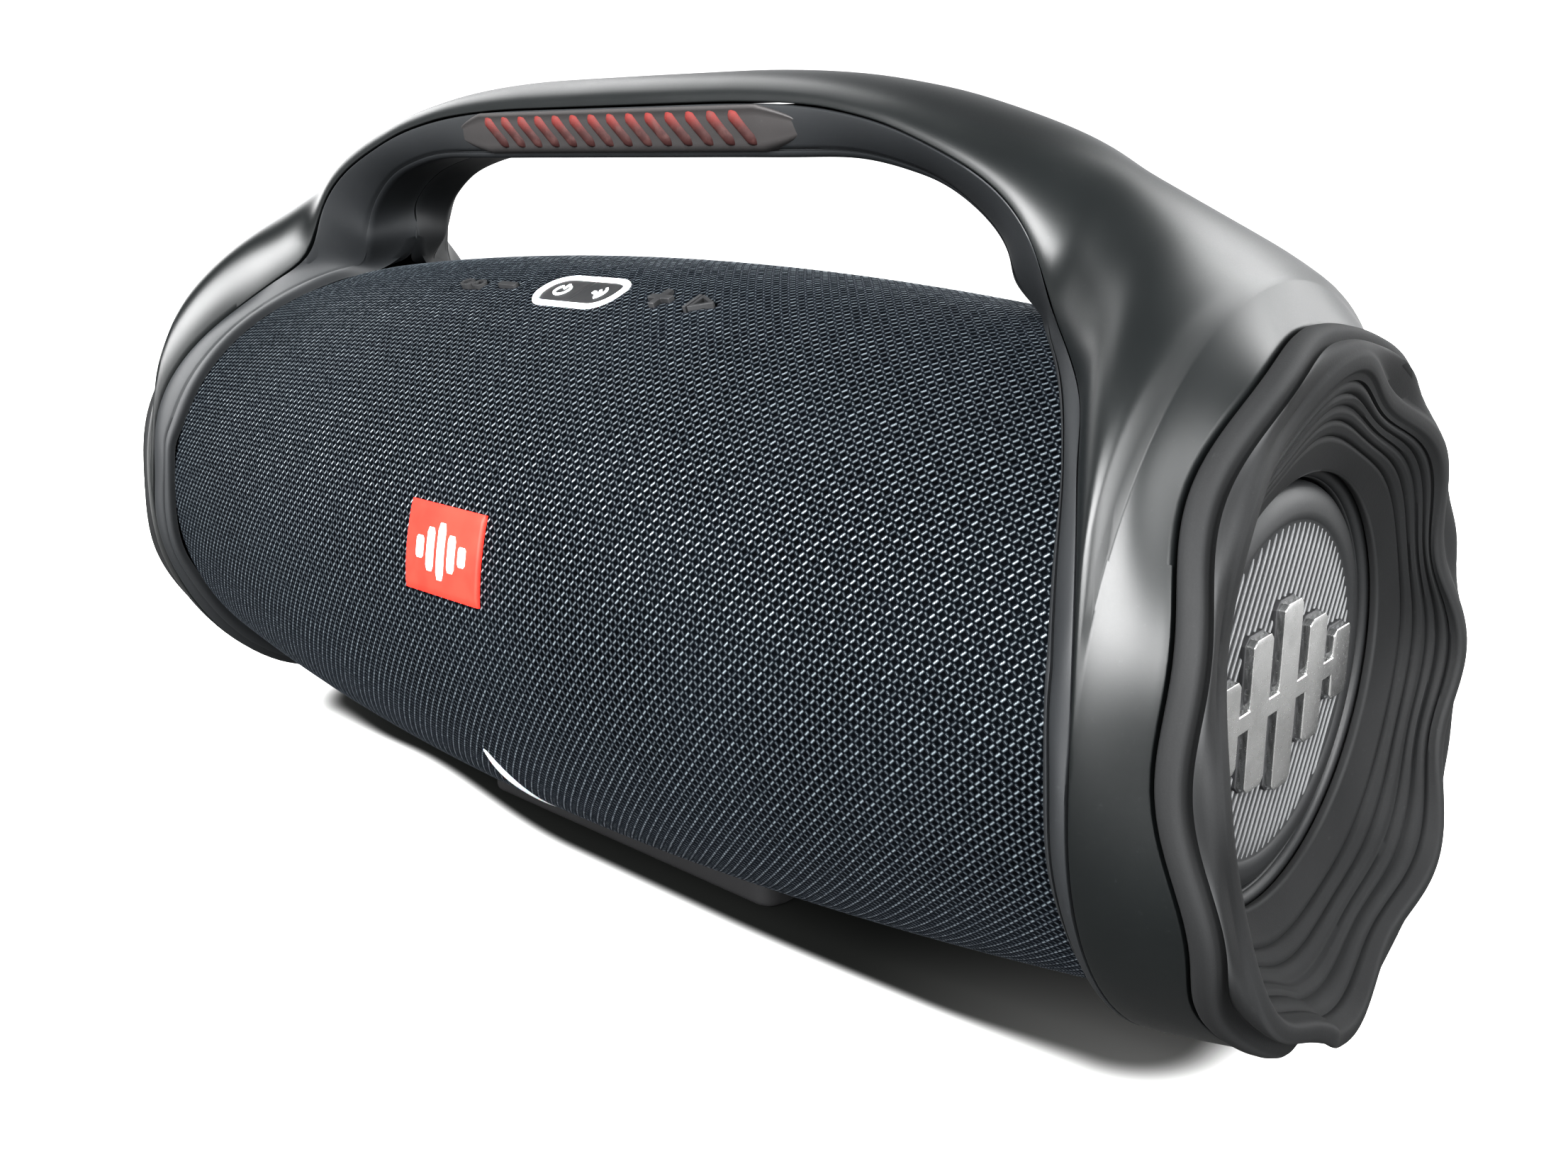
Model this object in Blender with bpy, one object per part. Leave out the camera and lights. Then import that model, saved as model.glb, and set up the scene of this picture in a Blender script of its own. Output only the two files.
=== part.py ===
"""Portable boombox-format wireless speaker with a fixed carry handle.

Frame: +X along the barrel, front faces -Y, +Z up, left is -X. The world origin is
on the ground under the middle of the barrel. The script works in millimetres with
heights measured from the barrel's axis; make() turns them into metres above ground.
Angles round the barrel are in degrees: 0 is the front, 90 the top, -90 the bottom.
"""
import math

import bmesh
import bpy
import numpy as np

for old in list(bpy.data.objects):
    bpy.data.objects.remove(old, do_unlink=True)

MM = 0.001

# ---------------------------------------------------------------- driving dimensions
AXIS_Z = 100.0                      # barrel's axis above the ground
BARREL_R = 97.5                     # fabric radius at mid length
BARREL_DROP, DROP_X = 11.0, 170.0   # the radius falls by BARREL_DROP at DROP_X
GAP = 0.35                          # running gap between neighbouring pieces

SLEEVE_X, SLEEVE_T = 199.0, 1.6     # fabric sleeve: half length, thickness
ENCL_X, ENCL_T = 203.0, 3.0         # enclosure: half length, thickness
ENCL_GAP = 0.9                      # between sleeve and enclosure
SEAM_HALF = 0.2                     # each enclosure half stands off the seam by this

SHELL_T = 2.6
RING_X0, RING_X1 = 210.0, 226.5     # satin end ring: start, and mean x at the bumper
RING_R0, RING_R1 = 87.5, 81.0       # its radius at those two places
RING_DEPTH = 90.0                   # its depth below the axis before the flat is cut
RING_DEPTH_LOSS = 3.0               # how much shallower it is at the bumper
RING_FLAT = 88.6                    # depth of the flat under the end rings

LOBES, LOBE_TURN = 8, 2.0           # waves round the bumper, and their turn in degrees
WAVE_X = -2.6                       # wave along x where ring and bumper meet
LIP_X, LIP_WAVE_X = 240.5, 1.5      # bumper lip: mean x, wave along x
LIP_R, LIP_TALL, LIP_WAVE = 72.8, 10.0, 2.8     # side radius, extra at top, wave
RING_LEAN, LIP_LEAN = 5.0, 9.5      # how far ring end and lip step inwards at the top
FUNNEL_X, FUNNEL_R = 219.0, 56.5    # inner end of the funnel
RAD_R = 53.6                        # passive radiator disc

LINER_T = 3.0
LAND = 0.75                         # liner's inner line above the fabric
RIM_LIFT = 3.4                      # liner's rim above the fabric

WOOFER_X, WOOFER_HOLE_R = 88.0, 48.0
TWEETER_X, TWEETER_HOLE_R = 158.0, 12.5

# ---------------------------------------------------------------- measured lines
# Top line of the shell: x, height.
TOP_X = [0, 44, 64, 84, 97, 109, 121, 132, 144, 155, 170, 185, 200, 215, 232]
TOP_Z = [154.5, 154.4, 153.7, 152, 150, 147.8, 144.8, 141.6, 137.8, 133.6, 126, 117.8,
         108.6, 98.6, 88]
# Edge of the satin shell: x, height, half width.
EDGE_X = [0, 45, 65, 85, 97, 109, 121, 132, 144, 155, 162.5, 167.5, 176, 186, 196, 201,
          207, 210]
EDGE_Z = [145.5, 145.5, 145, 143.6, 141.6, 139, 135, 130.8, 125, 116.5, 105.5, 95, 87.5,
          78.5, 64.5, 55, 36, 0]
EDGE_Y = [22, 22, 22.2, 23, 24, 25, 26, 27, 28, 29.3, 30.6, 32.5, 39, 49, 65.5, 73.2,
          82.5, 87.5]
# Rim of the hand opening (lower corner of the liner): x, height, half width.
RIM_X = [0, 45, 70, 92, 104, 115, 126, 136, 143.5, 147.5]
RIM_Z = [130, 130, 130, 129.8, 128.6, 126, 122, 115.8, 107, 97.5]
RIM_Y = [18, 18, 18, 18, 18, 18, 17.6, 17.2, 17, 17]
# Where the liner lands on the fabric: angle, x.
LAND_DEG = [90, 84, 77, 72, 67, 62, 57, 53, 46, 37, 29, 22, 13, 0, -40, -90]
LAND_X = [141.5, 150, 158.5, 164.5, 170.4, 175.6, 180, 183.6, 188.6, 193, 196, 198.4,
          200.4, 202, 203, 203]


# ---------------------------------------------------------------- materials
def material(name, colour, rough, metal=0.0):
    mat = bpy.data.materials.new(name)
    mat.use_nodes = True
    shader = mat.node_tree.nodes["Principled BSDF"]
    shader.inputs["Base Color"].default_value = (*colour, 1)
    shader.inputs["Roughness"].default_value = rough
    shader.inputs["Metallic"].default_value = metal
    return mat


FABRIC = material("fabric_navy_black", colour=(0.012, 0.016, 0.026), rough=0.85)
SATIN = material("satin_black_plastic", colour=(0.022, 0.023, 0.025), rough=0.38)
TRIM = material("matte_grey_rubber", colour=(0.045, 0.046, 0.048), rough=0.62)
BUMPER = material("bumper_rubber", colour=(0.035, 0.036, 0.037), rough=0.66)
GRIP = material("grip_rubber_red_brown", colour=(0.075, 0.03, 0.027), rough=0.6)
RADIATOR = material("radiator_rubber", colour=(0.05, 0.051, 0.052), rough=0.5)
CHROME = material("chrome", colour=(0.75, 0.75, 0.76), rough=0.12, metal=1.0)
RED = material("red_badge", colour=(0.75, 0.03, 0.02), rough=0.4)
WHITE = material("white_light_guide", colour=(0.85, 0.86, 0.84), rough=0.35)
KEY = material("key_rubber", colour=(0.03, 0.031, 0.033), rough=0.6)
ABS = material("black_abs", colour=(0.02, 0.02, 0.021), rough=0.5)
STEEL = material("steel", colour=(0.55, 0.55, 0.56), rough=0.3, metal=1.0)
PAPER = material("paper_cone", colour=(0.06, 0.06, 0.06), rough=0.8)
FERRITE = material("ferrite", colour=(0.05, 0.05, 0.055), rough=0.5, metal=0.3)
PCB = material("pcb_green", colour=(0.02, 0.12, 0.05), rough=0.45)
ALUMINIUM = material("aluminium", colour=(0.75, 0.76, 0.78), rough=0.35, metal=1.0)
CELL = material("battery_wrap", colour=(0.05, 0.12, 0.35), rough=0.4)
CABLE = material("cable_jacket", colour=(0.03, 0.03, 0.03), rough=0.5)


# ---------------------------------------------------------------- geometry helpers
def barrel_r(x):
    """Radius of the fabric surface at x."""
    return BARREL_R - BARREL_DROP * (x / DROP_X) ** 2


def at_angle(x, radius, deg):
    """Point at x, at a radius and angle round the barrel's axis."""
    angle = math.radians(deg)
    return x, -radius * math.cos(angle), radius * math.sin(angle)


def unit(vector):
    return vector / max(np.linalg.norm(vector), 1e-9)


def spline(xs, ys, x):
    """Monotone cubic through the control points (Fritsch-Carlson), held at its ends."""
    xs, ys = np.asarray(xs, float), np.asarray(ys, float)
    step = np.diff(xs)
    slope = np.diff(ys) / step
    tangent = np.zeros(len(xs))
    tangent[0], tangent[-1] = slope[0], slope[-1]
    for i in range(1, len(xs) - 1):
        if slope[i - 1] * slope[i] > 0:
            before, after = 2 * step[i] + step[i - 1], step[i] + 2 * step[i - 1]
            tangent[i] = (before + after) / (before / slope[i - 1] + after / slope[i])
    x = min(max(float(x), xs[0]), xs[-1])
    k = int(np.clip(np.searchsorted(xs, x, side="right") - 1, 0, len(step) - 1))
    t = (x - xs[k]) / step[k]
    return float(
        ys[k] * (1 + 2 * t) * (1 - t) ** 2 + step[k] * tangent[k] * t * (1 - t) ** 2
        + ys[k + 1] * t * t * (3 - 2 * t) + step[k] * tangent[k + 1] * t * t * (t - 1)
    )


def rounded(width, height, radius, steps):
    """Rounded rectangle, anticlockwise from the right end of its top right corner."""
    cx, cy = width / 2 - radius, height / 2 - radius
    points = []
    for sx, sy, start in ((1, 1, 0), (-1, 1, 90), (-1, -1, 180), (1, -1, 270)):
        for i in range(steps + 1):
            angle = math.radians(start + 90 * i / steps)
            points.append((sx * cx + radius * math.cos(angle),
                           sy * cy + radius * math.sin(angle)))
    return points


def circle(radius, seg):
    angles = [2 * math.pi * i / seg for i in range(seg)]
    return [(radius * math.cos(angle), radius * math.sin(angle)) for angle in angles]


def grow(outline, distance):
    """Anticlockwise outline moved outwards along its corner normals."""
    grown = []
    for i in range(len(outline)):
        before, here, after = (np.array(outline[(i + k) % len(outline)]) for k in (-1, 0, 1))
        edge_in, edge_out = unit(here - before), unit(after - here)
        normal_in = np.array([edge_in[1], -edge_in[0]])
        normal_out = np.array([edge_out[1], -edge_out[0]])
        mitre = normal_in + normal_out
        mitre = mitre / max(0.35, float(np.dot(mitre, normal_in)))
        grown.append(tuple(here + mitre * distance))
    return grown


# A frame is an origin and three directions: u and v of an outline, and its height.
UPRIGHT = ((0, 0, 0), (1, 0, 0), (0, 1, 0), (0, 0, 1))


def front_frame(x):
    """u along +X, v up, height towards the front."""
    return (x, 0, 0), (1, 0, 0), (0, 0, 1), (0, -1, 0)


def end_frame_at(side, y=0.0, z=0.0):
    """u along +Y, v up, height outwards along x."""
    return (0, y, z), (0, 1, 0), (0, 0, 1), (side, 0, 0)


def skin_frame(x, deg):
    """On the barrel's axis: u along +X, v up round the barrel, height outwards."""
    angle = math.radians(deg)
    c, s = math.cos(angle), math.sin(angle)
    return (x, 0, 0), (1, 0, 0), (0, s, c), (0, -c, s)


def in_frame(frame, u, v, height):
    origin, u_dir, v_dir, out = (np.array(part, float) for part in frame)
    return origin + u_dir * u + v_dir * v + out * height


def place(frame, outline, height):
    return [in_frame(frame, u, v, height) for u, v in outline]


# ---------------------------------------------------------------- object helpers
def make(name, verts, faces, mat, smooth, origin=None):
    """One closed object; without an origin its origin is the world's."""
    points = np.asarray(verts, float) * MM
    points[:, 2] += AXIS_Z * MM
    if origin is None:
        centre = np.zeros(3)
    else:
        centre = np.array(origin, float) * MM + np.array([0, 0, AXIS_Z * MM])
    mesh = bpy.data.meshes.new(name)
    mesh.from_pydata([tuple(p) for p in points - centre], [], faces)
    bm = bmesh.new()
    bm.from_mesh(mesh)
    bmesh.ops.remove_doubles(bm, verts=bm.verts, dist=1e-6)
    bmesh.ops.triangulate(bm, faces=[f for f in bm.faces if len(f.verts) > 4])
    bmesh.ops.recalc_face_normals(bm, faces=bm.faces)
    if bm.calc_volume(signed=True) < 0:
        bmesh.ops.reverse_faces(bm, faces=bm.faces)
    bm.to_mesh(mesh)
    bm.free()
    mesh.materials.append(mat)
    mesh.shade_smooth()
    mesh.set_sharp_from_angle(angle=math.radians(smooth))
    ob = bpy.data.objects.new(name, mesh)
    bpy.context.scene.collection.objects.link(ob)
    ob.location = tuple(centre)
    return ob


def loft(name, loops, mat, ring=False, smooth=40, origin=None):
    """Skin over closed loops of equal length; caps at the ends unless ring."""
    loops = [np.asarray(loop, float) for loop in loops]
    count, size = len(loops), len(loops[0])
    faces = []
    for i in range(count if ring else count - 1):
        j = (i + 1) % count
        for a in range(size):
            b = (a + 1) % size
            faces.append((i * size + a, i * size + b, j * size + b, j * size + a))
    if not ring:
        faces.append(tuple(range(size)))
        faces.append(tuple((count - 1) * size + a for a in range(size - 1, -1, -1)))
    return make(name, np.concatenate(loops), faces, mat, smooth, origin)


def turned(name, profile, mat, seg, at=(0, 0, 0), axis="X", side=1, origin=None):
    """Closed profile of (radius, distance) turned about an X or Y axis through at.

    Distances are multiplied by side; without an origin the origin is at.
    """
    loops = []
    for i in range(seg):
        angle = 2 * math.pi * i / seg
        loop = []
        for radius, distance in profile:
            along = side * distance
            c, s = radius * math.cos(angle), radius * math.sin(angle)
            loop.append((along, c, s) if axis == "X" else (s, along, c))
        loops.append(np.array(loop) + np.array(at, float))
    return loft(name, loops, mat, ring=True, smooth=35, origin=at if origin is None else origin)


def prism(name, outline, low, high, mat, frame, origin=None):
    """Outline pushed from low to high along the frame's third direction."""
    loops = [place(frame, outline, height) for height in (low, high)]
    return loft(name, loops, mat, smooth=35, origin=origin)


def box(name, low, high, mat):
    (x0, y0, z0), (x1, y1, z1) = low, high
    return prism(name, [(x0, y0), (x1, y0), (x1, y1), (x0, y1)], z0, z1, mat, UPRIGHT)


def cut(ob, cutter, operation="DIFFERENCE"):
    cutter.hide_render = True
    cutter.display_type = "WIRE"
    modifier = ob.modifiers.new(cutter.name, "BOOLEAN")
    modifier.object = cutter
    modifier.operation = operation
    modifier.solver = "EXACT"


# ---------------------------------------------------------------- fabric sleeve
def fabric_sleeve(stations=7, seg=40):
    xs = np.linspace(-SLEEVE_X, SLEEVE_X, stations)
    loops = []
    for i in range(seg):
        deg = 360 * i / seg
        outer = [at_angle(x, barrel_r(x), deg) for x in xs]
        inner = [at_angle(x, barrel_r(x) - SLEEVE_T, deg) for x in xs[::-1]]
        loops.append(outer + inner)
    return loft("fabric_sleeve", loops, FABRIC, ring=True)


sleeve = fabric_sleeve()


# ---------------------------------------------------------------- enclosure halves
def enclosure_half(name, side, seg=12):
    """Half of the pressure shell; side -1 is the front, +1 the rear."""
    outer = -SLEEVE_T - ENCL_GAP
    inner = outer - ENCL_T
    degs = [-90 + 180 * i / seg for i in range(seg + 1)]
    loops = []
    for x in (-ENCL_X, -145, -75, 0, 75, 145, ENCL_X):
        loop = [at_angle(x, barrel_r(x) + outer, deg) for deg in degs]
        loop += [at_angle(x, barrel_r(x) + inner, deg) for deg in degs[::-1]]
        loops.append([(x, -side * y + side * SEAM_HALF, z) for x, y, z in loop])
    return loft(name, loops, ABS)


enclosure_front = enclosure_half("enclosure_front", -1)
enclosure_rear = enclosure_half("enclosure_rear", 1)

# driver openings through the front wall: name, x, radius, segments
for driver, driver_x, hole_r, hole_seg in (("woofer", WOOFER_X, WOOFER_HOLE_R, 20),
                                           ("tweeter", TWEETER_X, TWEETER_HOLE_R, 12)):
    for tag, side in (("left", -1), ("right", 1)):
        cut(enclosure_front, prism(f"{driver}_hole_{tag}", circle(hole_r, hole_seg), 40, 110,
                                   ABS, front_frame(side * driver_x)))

# ---------------------------------------------------------------- outline of shell and rings
UPPER_STEPS = 7         # steps from the top centre down to the satin edge
LOWER_STEPS = 7         # steps from there to the bottom centre


def wave(deg):
    """+1 on a lobe of the bumper, -1 between two."""
    return math.cos(math.radians(LOBES * (deg - LOBE_TURN)))


def lean(rise):
    """0 low on the ring, 1.05 at its top; rise is the height as a share of the radius."""
    return max(0.0, 0.5 + 0.55 * rise)


def ring_share(x):
    """0 where the end ring starts, 1 where it meets the bumper."""
    return (x - RING_X0) / (RING_X1 - RING_X0)


def half_width(x):
    if x <= RING_X0:
        return spline(EDGE_X, EDGE_Y, x)
    t = ring_share(x)
    return RING_R0 + (RING_R1 - RING_R0) * t * t * (1.6 - 0.6 * t)


def upper_section(x, inset):
    """Front half of the shell's outline at x: (y, z) from the top centre to the edge."""
    top = spline(TOP_X, TOP_Z, x) - inset
    edge = spline(EDGE_X, EDGE_Z, x) if x <= RING_X0 else 0.0
    width = half_width(x) - inset
    power = 2.0 + 0.35 * max(0.0, 1 - x / 150.0)     # squarer over the handle's middle
    points = []
    for i in range(UPPER_STEPS + 1):
        angle = math.radians(90 * i / UPPER_STEPS)
        points.append((-width * math.sin(angle) ** (2 / power),
                       edge + (top - edge) * math.cos(angle) ** (2 / power)))
    return points


def ring_section(x, inset=0.0):
    """Whole (y, z) outline of the end ring at x: down the front and up the rear."""
    half = upper_section(x, inset)
    width = half_width(x) - inset
    depth = RING_DEPTH - RING_DEPTH_LOSS * ring_share(x) - inset
    for i in range(1, LOWER_STEPS + 1):
        angle = math.radians(90 * i / LOWER_STEPS)
        z = max(-depth * math.sin(angle), -(RING_FLAT - inset))
        half.append((-width * math.cos(angle), z))
    return half + [(-y, z) for y, z in half[-2:0:-1]]


# ---------------------------------------------------------------- handle shell
ARCH_X = [0, 45, 78, 104, 126, 143, 155, 163, 168, 176, 185, 194, 201, 206.5, RING_X0]
RING_STEPS = [0.0, 0.4, 1.0]        # stations along the end ring, as shares of it


def handle_shell():
    """Handle arch and two end rings: outer and inner skin joined along every edge."""
    verts, faces = [], []
    steps = UPPER_STEPS

    def add(point):
        verts.append(point)
        return len(verts) - 1

    def bridge(first, second, columns):
        for i in columns:
            j = (i + 1) % len(first)
            faces.append((first[i], first[j], second[j], second[i]))

    # arch: each row runs from the front edge over the top to the rear edge
    skins = []
    for inset in (0.0, SHELL_T):
        rows = []
        for x in [-x for x in ARCH_X[::-1]] + ARCH_X[1:]:
            half = upper_section(abs(x), inset)
            row = [add((x, y, z)) for y, z in half[::-1]]
            row += [add((x, -y, z)) for y, z in half[1:]]
            rows.append(row)
        skins.append(rows)
        for row, following in zip(rows, rows[1:]):
            bridge(row, following, range(2 * steps))
    for column in (0, 2 * steps):       # front and rear edges
        outer, inner = ([row[column] for row in rows] for rows in skins)
        bridge(outer, inner, range(len(outer) - 1))

    def ring_loops(side, inset, arch_row):
        """Loops along an end ring; the first shares its upper part with the arch."""
        loops = []
        for share in RING_STEPS:
            x_mean = RING_X0 + (RING_X1 - RING_X0) * share
            outline = ring_section(x_mean, inset)
            loop = []
            for i, (y, z) in enumerate(outline):
                if share == 0 and i <= steps:
                    loop.append(arch_row[steps - i])
                    continue
                if share == 0 and i >= len(outline) - steps:
                    loop.append(arch_row[steps + len(outline) - i])
                    continue
                deg = math.degrees(math.atan2(z, -y))
                shift = WAVE_X * wave(deg) - RING_LEAN * lean(z / math.hypot(y, z))
                loop.append(add((side * (x_mean + share * shift), y, z)))
            loops.append(loop)
        return loops

    for side, end in ((1, -1), (-1, 0)):
        outer, inner = (ring_loops(side, inset, rows[end])
                        for inset, rows in zip((0.0, SHELL_T), skins))
        size = len(outer[0])
        for loops in (outer, inner):
            for loop, following in zip(loops, loops[1:]):
                bridge(loop, following, range(size))
        bridge(outer[-1], inner[-1], range(size))                   # rim at the bumper
        bridge(outer[0], inner[0], range(steps, size - steps))      # lower half inboard
    make("handle_shell", verts, faces, SATIN, smooth=50)


handle_shell()

# ---------------------------------------------------------------- liner halves
# Each station has a satin edge point, a rim point and an inner point. Under the handle
# the inner point is at the middle of the arch; on the barrel it is just above the fabric.
LINER_HANDLE_X = (0, 26, 52, 76, 98, 114, 128, 138.5)
# satin x, rim x, inner x, inner z
LINER_POST = ((150.5, 144.5, 140.5, 106.5), (160.0, 147.3, 141.5, 98.9))
# rim angle, inner angle, satin x
LINER_BARREL = ((80.0, 83.0, 166.0), (75.5, 76.5, 172.0), (69.0, 69.0, 179.0),
                (61.5, 61.5, 186.5), (52.0, 52.0, 194.0), (43.0, 43.0, 199.6),
                (33.0, 33.0, 203.8), (22.0, 22.0, 207.0), (11.0, 11.0, 209.2))
LINER_LOW_DEG = (0, -20, -42, -66, -90)     # along the end ring's lower half
INWARD_Z = 60.0         # handle and post sections point in towards this height
TUCK_ALONG, TUCK_IN = 0.6, 0.25     # liner's edge steps back from the satin edge
MID_BULGE = 0.6         # middle of the liner's face stands out


def satin_point(x):
    return x, -spline(EDGE_X, EDGE_Y, x), spline(EDGE_X, EDGE_Z, x)


def rim_point(x):
    return x, -spline(RIM_X, RIM_Y, x), spline(RIM_X, RIM_Z, x)


def landing(deg, lift):
    """Point above the fabric on the landing line."""
    x = spline([-a for a in LAND_DEG], LAND_X, -deg)
    return at_angle(x, barrel_r(x) + lift, deg)


def liner_stations():
    """(part, satin, rim, inner) of the front half, from x = 0 out and down the ring."""
    stations = []
    for x in LINER_HANDLE_X:
        rim = rim_point(x)
        stations.append(("handle", satin_point(x), rim, (x, -GAP / 2, rim[2] + 0.8)))
    for satin_x, rim_x, inner_x, inner_z in LINER_POST:
        inner = (inner_x, -GAP / 2, inner_z)
        stations.append(("post", satin_point(satin_x), rim_point(rim_x), inner))
    for rim_deg, inner_deg, satin_x in LINER_BARREL:
        stations.append(("barrel", satin_point(satin_x), landing(rim_deg, RIM_LIFT),
                         landing(inner_deg, LAND)))
    for deg in LINER_LOW_DEG:
        angle = math.radians(-deg)
        satin = (RING_X0 - GAP, -RING_R0 * math.cos(angle),
                 max(-RING_DEPTH * math.sin(angle), -RING_FLAT))
        points = [satin, landing(deg, RIM_LIFT), landing(deg, LAND)]
        if deg == -90:
            points = [(x, -GAP / 2, z) for x, _, z in points]
        stations.append(("barrel", *points))
    return stations


def barrel_backing(satin, rim, inner, edge_back):
    """Core and wall behind the liner where it lies on the barrel."""
    depth = max(2.0, (satin[0] - rim[0]) * 0.45)
    outward = unit(np.array([0, inner[1], inner[2]]))
    core = np.array([inner[0] + depth, inner[1], inner[2]])
    core[1:] = outward[1:] * (barrel_r(core[0]) + LAND)
    if inner[1] == -GAP / 2:        # bottom station stays on its side of the seam
        core[1] = -GAP / 2
    wall = (core + edge_back) / 2
    wall_r = barrel_r(min(wall[0], ENCL_X)) + 0.8
    if np.linalg.norm(wall[1:]) < wall_r:
        wall[1:] = unit(wall[1:]) * wall_r
    return core, wall


def liner_loop(part, satin, rim, inner):
    satin, rim, inner = (np.array(point, float) for point in (satin, rim, inner))
    aim_z = 0.0 if part == "barrel" else INWARD_Z
    inward = unit(np.array([0, -satin[1], aim_z - satin[2]]))
    edge = satin + TUCK_ALONG * unit(rim - satin) + TUCK_IN * inward
    outward = -inward if part == "barrel" else np.array([0.0, -1.0, 0.0])
    middle = (edge + rim) / 2 + outward * MID_BULGE
    if part == "handle":
        core = np.array([satin[0], -GAP / 2, inner[2] + LINER_T])
        wall = rim + np.array([0, LINER_T, LINER_T])
        edge_back = edge + np.array([0, LINER_T, 0])
    elif part == "post":
        core = inner + np.array([LINER_T, 0, 0.6])
        wall = rim + np.array([LINER_T, LINER_T * 0.8, 1.5])
        edge_back = edge + np.array([0, LINER_T, -0.5])
    else:
        edge_back = edge + inward * LINER_T
        core, wall = barrel_backing(satin, rim, inner, edge_back)
        if inner[1] == -GAP / 2:
            wall[1] = edge_back[1] = -GAP / 2
    return [edge, middle, rim, inner, core, wall, edge_back]


def liner_half(name, side):
    right = [liner_loop(*station) for station in liner_stations()]
    left = [[(-x, y, z) for x, y, z in loop] for loop in right[:0:-1]]
    loops = [[(x, -side * y, z) for x, y, z in loop] for loop in left + right]
    loft(name, loops, TRIM, smooth=50)


liner_half("trim_front", -1)
liner_half("trim_rear", 1)


# ---------------------------------------------------------------- ends of the barrel
def bumper(name, side):
    """Wavy rubber end ring: ridge, groove, lip and the funnel down to the radiator."""
    loops = []
    for y, z in ring_section(RING_X1):
        radius = math.hypot(y, z)
        y_share, z_share = y / radius, z / radius
        lobe = wave(math.degrees(math.atan2(z, -y)))
        leaning = lean(z_share)
        base_x = RING_X1 + WAVE_X * lobe + GAP - RING_LEAN * leaning
        lip_x = LIP_X + LIP_WAVE_X * lobe - LIP_LEAN * leaning
        lip_r = LIP_R + LIP_TALL * z_share * z_share + LIP_WAVE * lobe
        # largest radius that keeps the underside flat
        foot = (RING_FLAT + 1.0) / -z_share if z_share < -0.5 else 1e9
        profile = [     # x, radius
            (base_x, radius - 0.2),
            (base_x + 6.4, min(radius + 0.2, foot)),
            (base_x + 8.2, min(radius - 2.6, foot)),
            (base_x + 9.6, min(radius - 2.2, foot)),
            (lip_x, lip_r + 1.0), (lip_x - 0.6, lip_r - 3.6),
            (FUNNEL_X + 9.5 - 4.5 * leaning, 67.0 + 2.5 * z_share * z_share + 1.6 * lobe),
            (FUNNEL_X, FUNNEL_R), (FUNNEL_X - 2.4, FUNNEL_R + 0.6), (FUNNEL_X - 2.4, 68.5),
            (base_x - 3.0, radius - 7.6), (base_x - 3.0, radius - 4.8),
            (base_x, radius - 4.8),
        ]
        loops.append([(side * x, r * y_share, r * z_share) for x, r in profile])
    loft(name, loops, BUMPER, ring=True, smooth=50)


# Turned profiles at the ends: radius, x.
END_FRAME = [(55, 203.4), (79.2, 203.4), (79.2, 208), (70, 208), (70, 216.1),
             (62.6, 216.1), (62.6, 211), (55, 211)]
END_SURROUND = [(54.3, 214.0), (57.4, 215.9), (59.8, 214.4), (61.2, 213.4),
                (61.2, 211.4), (57.4, 213.7), (54.3, 212.4)]
END_RADIATOR = [(0, 206.5), (19, 206.5), (21, 211.5), (RAD_R, 212.4), (RAD_R, 215.2),
                (42.5, 216.4), (0, 217.2)]
END_SCREW = [(0, 192.5), (1.2, 192.5), (1.2, 208.35), (2.8, 208.35), (2.6, 210.2),
             (0, 210.4)]
SCREW_CIRCLE_R = 75.0
SCREW_DEGS = (45, 135, 225, 315)

EMBLEM_BARS = [(-32, 12), (-16, 20), (0, 25), (16, 17), (32, 10)]    # y, half height
BAR_HALF, BAR_CHAMFER, WEB_HALF = 5.4, 2.0, 2.6


def emblem(name, side):
    """Five chamfered bars on one thin web."""
    tip = BAR_HALF - BAR_CHAMFER
    lower = []
    for y, height in EMBLEM_BARS:
        lower += [(y - BAR_HALF, -WEB_HALF), (y - BAR_HALF, -height + BAR_CHAMFER),
                  (y - tip, -height), (y + tip, -height),
                  (y + BAR_HALF, -height + BAR_CHAMFER), (y + BAR_HALF, -WEB_HALF)]
    upper = [(y, -z) for y, z in lower[::-1]]
    prism(name, lower + upper, 217.55, 219.4, CHROME, end_frame_at(side),
          origin=(side * 218, 0, 0))


def end_fixing(tag, side, index, deg, frame):
    """Boss and pilot hole in the enclosure, clearance hole in the frame, and the screw."""
    _, y, z = at_angle(0, SCREW_CIRCLE_R, deg)
    axes = end_frame_at(side, y, z)
    half = enclosure_front if y < 0 else enclosure_rear
    cut(half, prism(f"boss_{tag}_{index}", circle(4.0, 10), 186, 202.6, ABS, axes), "UNION")
    cut(half, prism(f"pilot_{tag}_{index}", circle(1.6, 8), 191, 206, ABS, axes))
    cut(frame, prism(f"clear_{tag}_{index}", circle(1.7, 8), 200, 212, ABS, axes))
    turned(f"end_screw_{tag}_{index + 1}", END_SCREW, STEEL, seg=8, at=(0, y, z), side=side,
           origin=(side * 200, y, z))


for tag, side in (("left", -1), ("right", 1)):
    bumper("bumper_" + tag, side)
    frame = turned("end_frame_" + tag, END_FRAME, ABS, seg=20, side=side)
    turned("surround_" + tag, END_SURROUND, RADIATOR, seg=24, side=side)
    turned("radiator_" + tag, END_RADIATOR, RADIATOR, seg=24, side=side,
           origin=(side * 214, 0, 0))
    emblem("emblem_" + tag, side)
    for index, deg in enumerate(SCREW_DEGS):
        end_fixing(tag, side, index, deg, frame)

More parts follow.
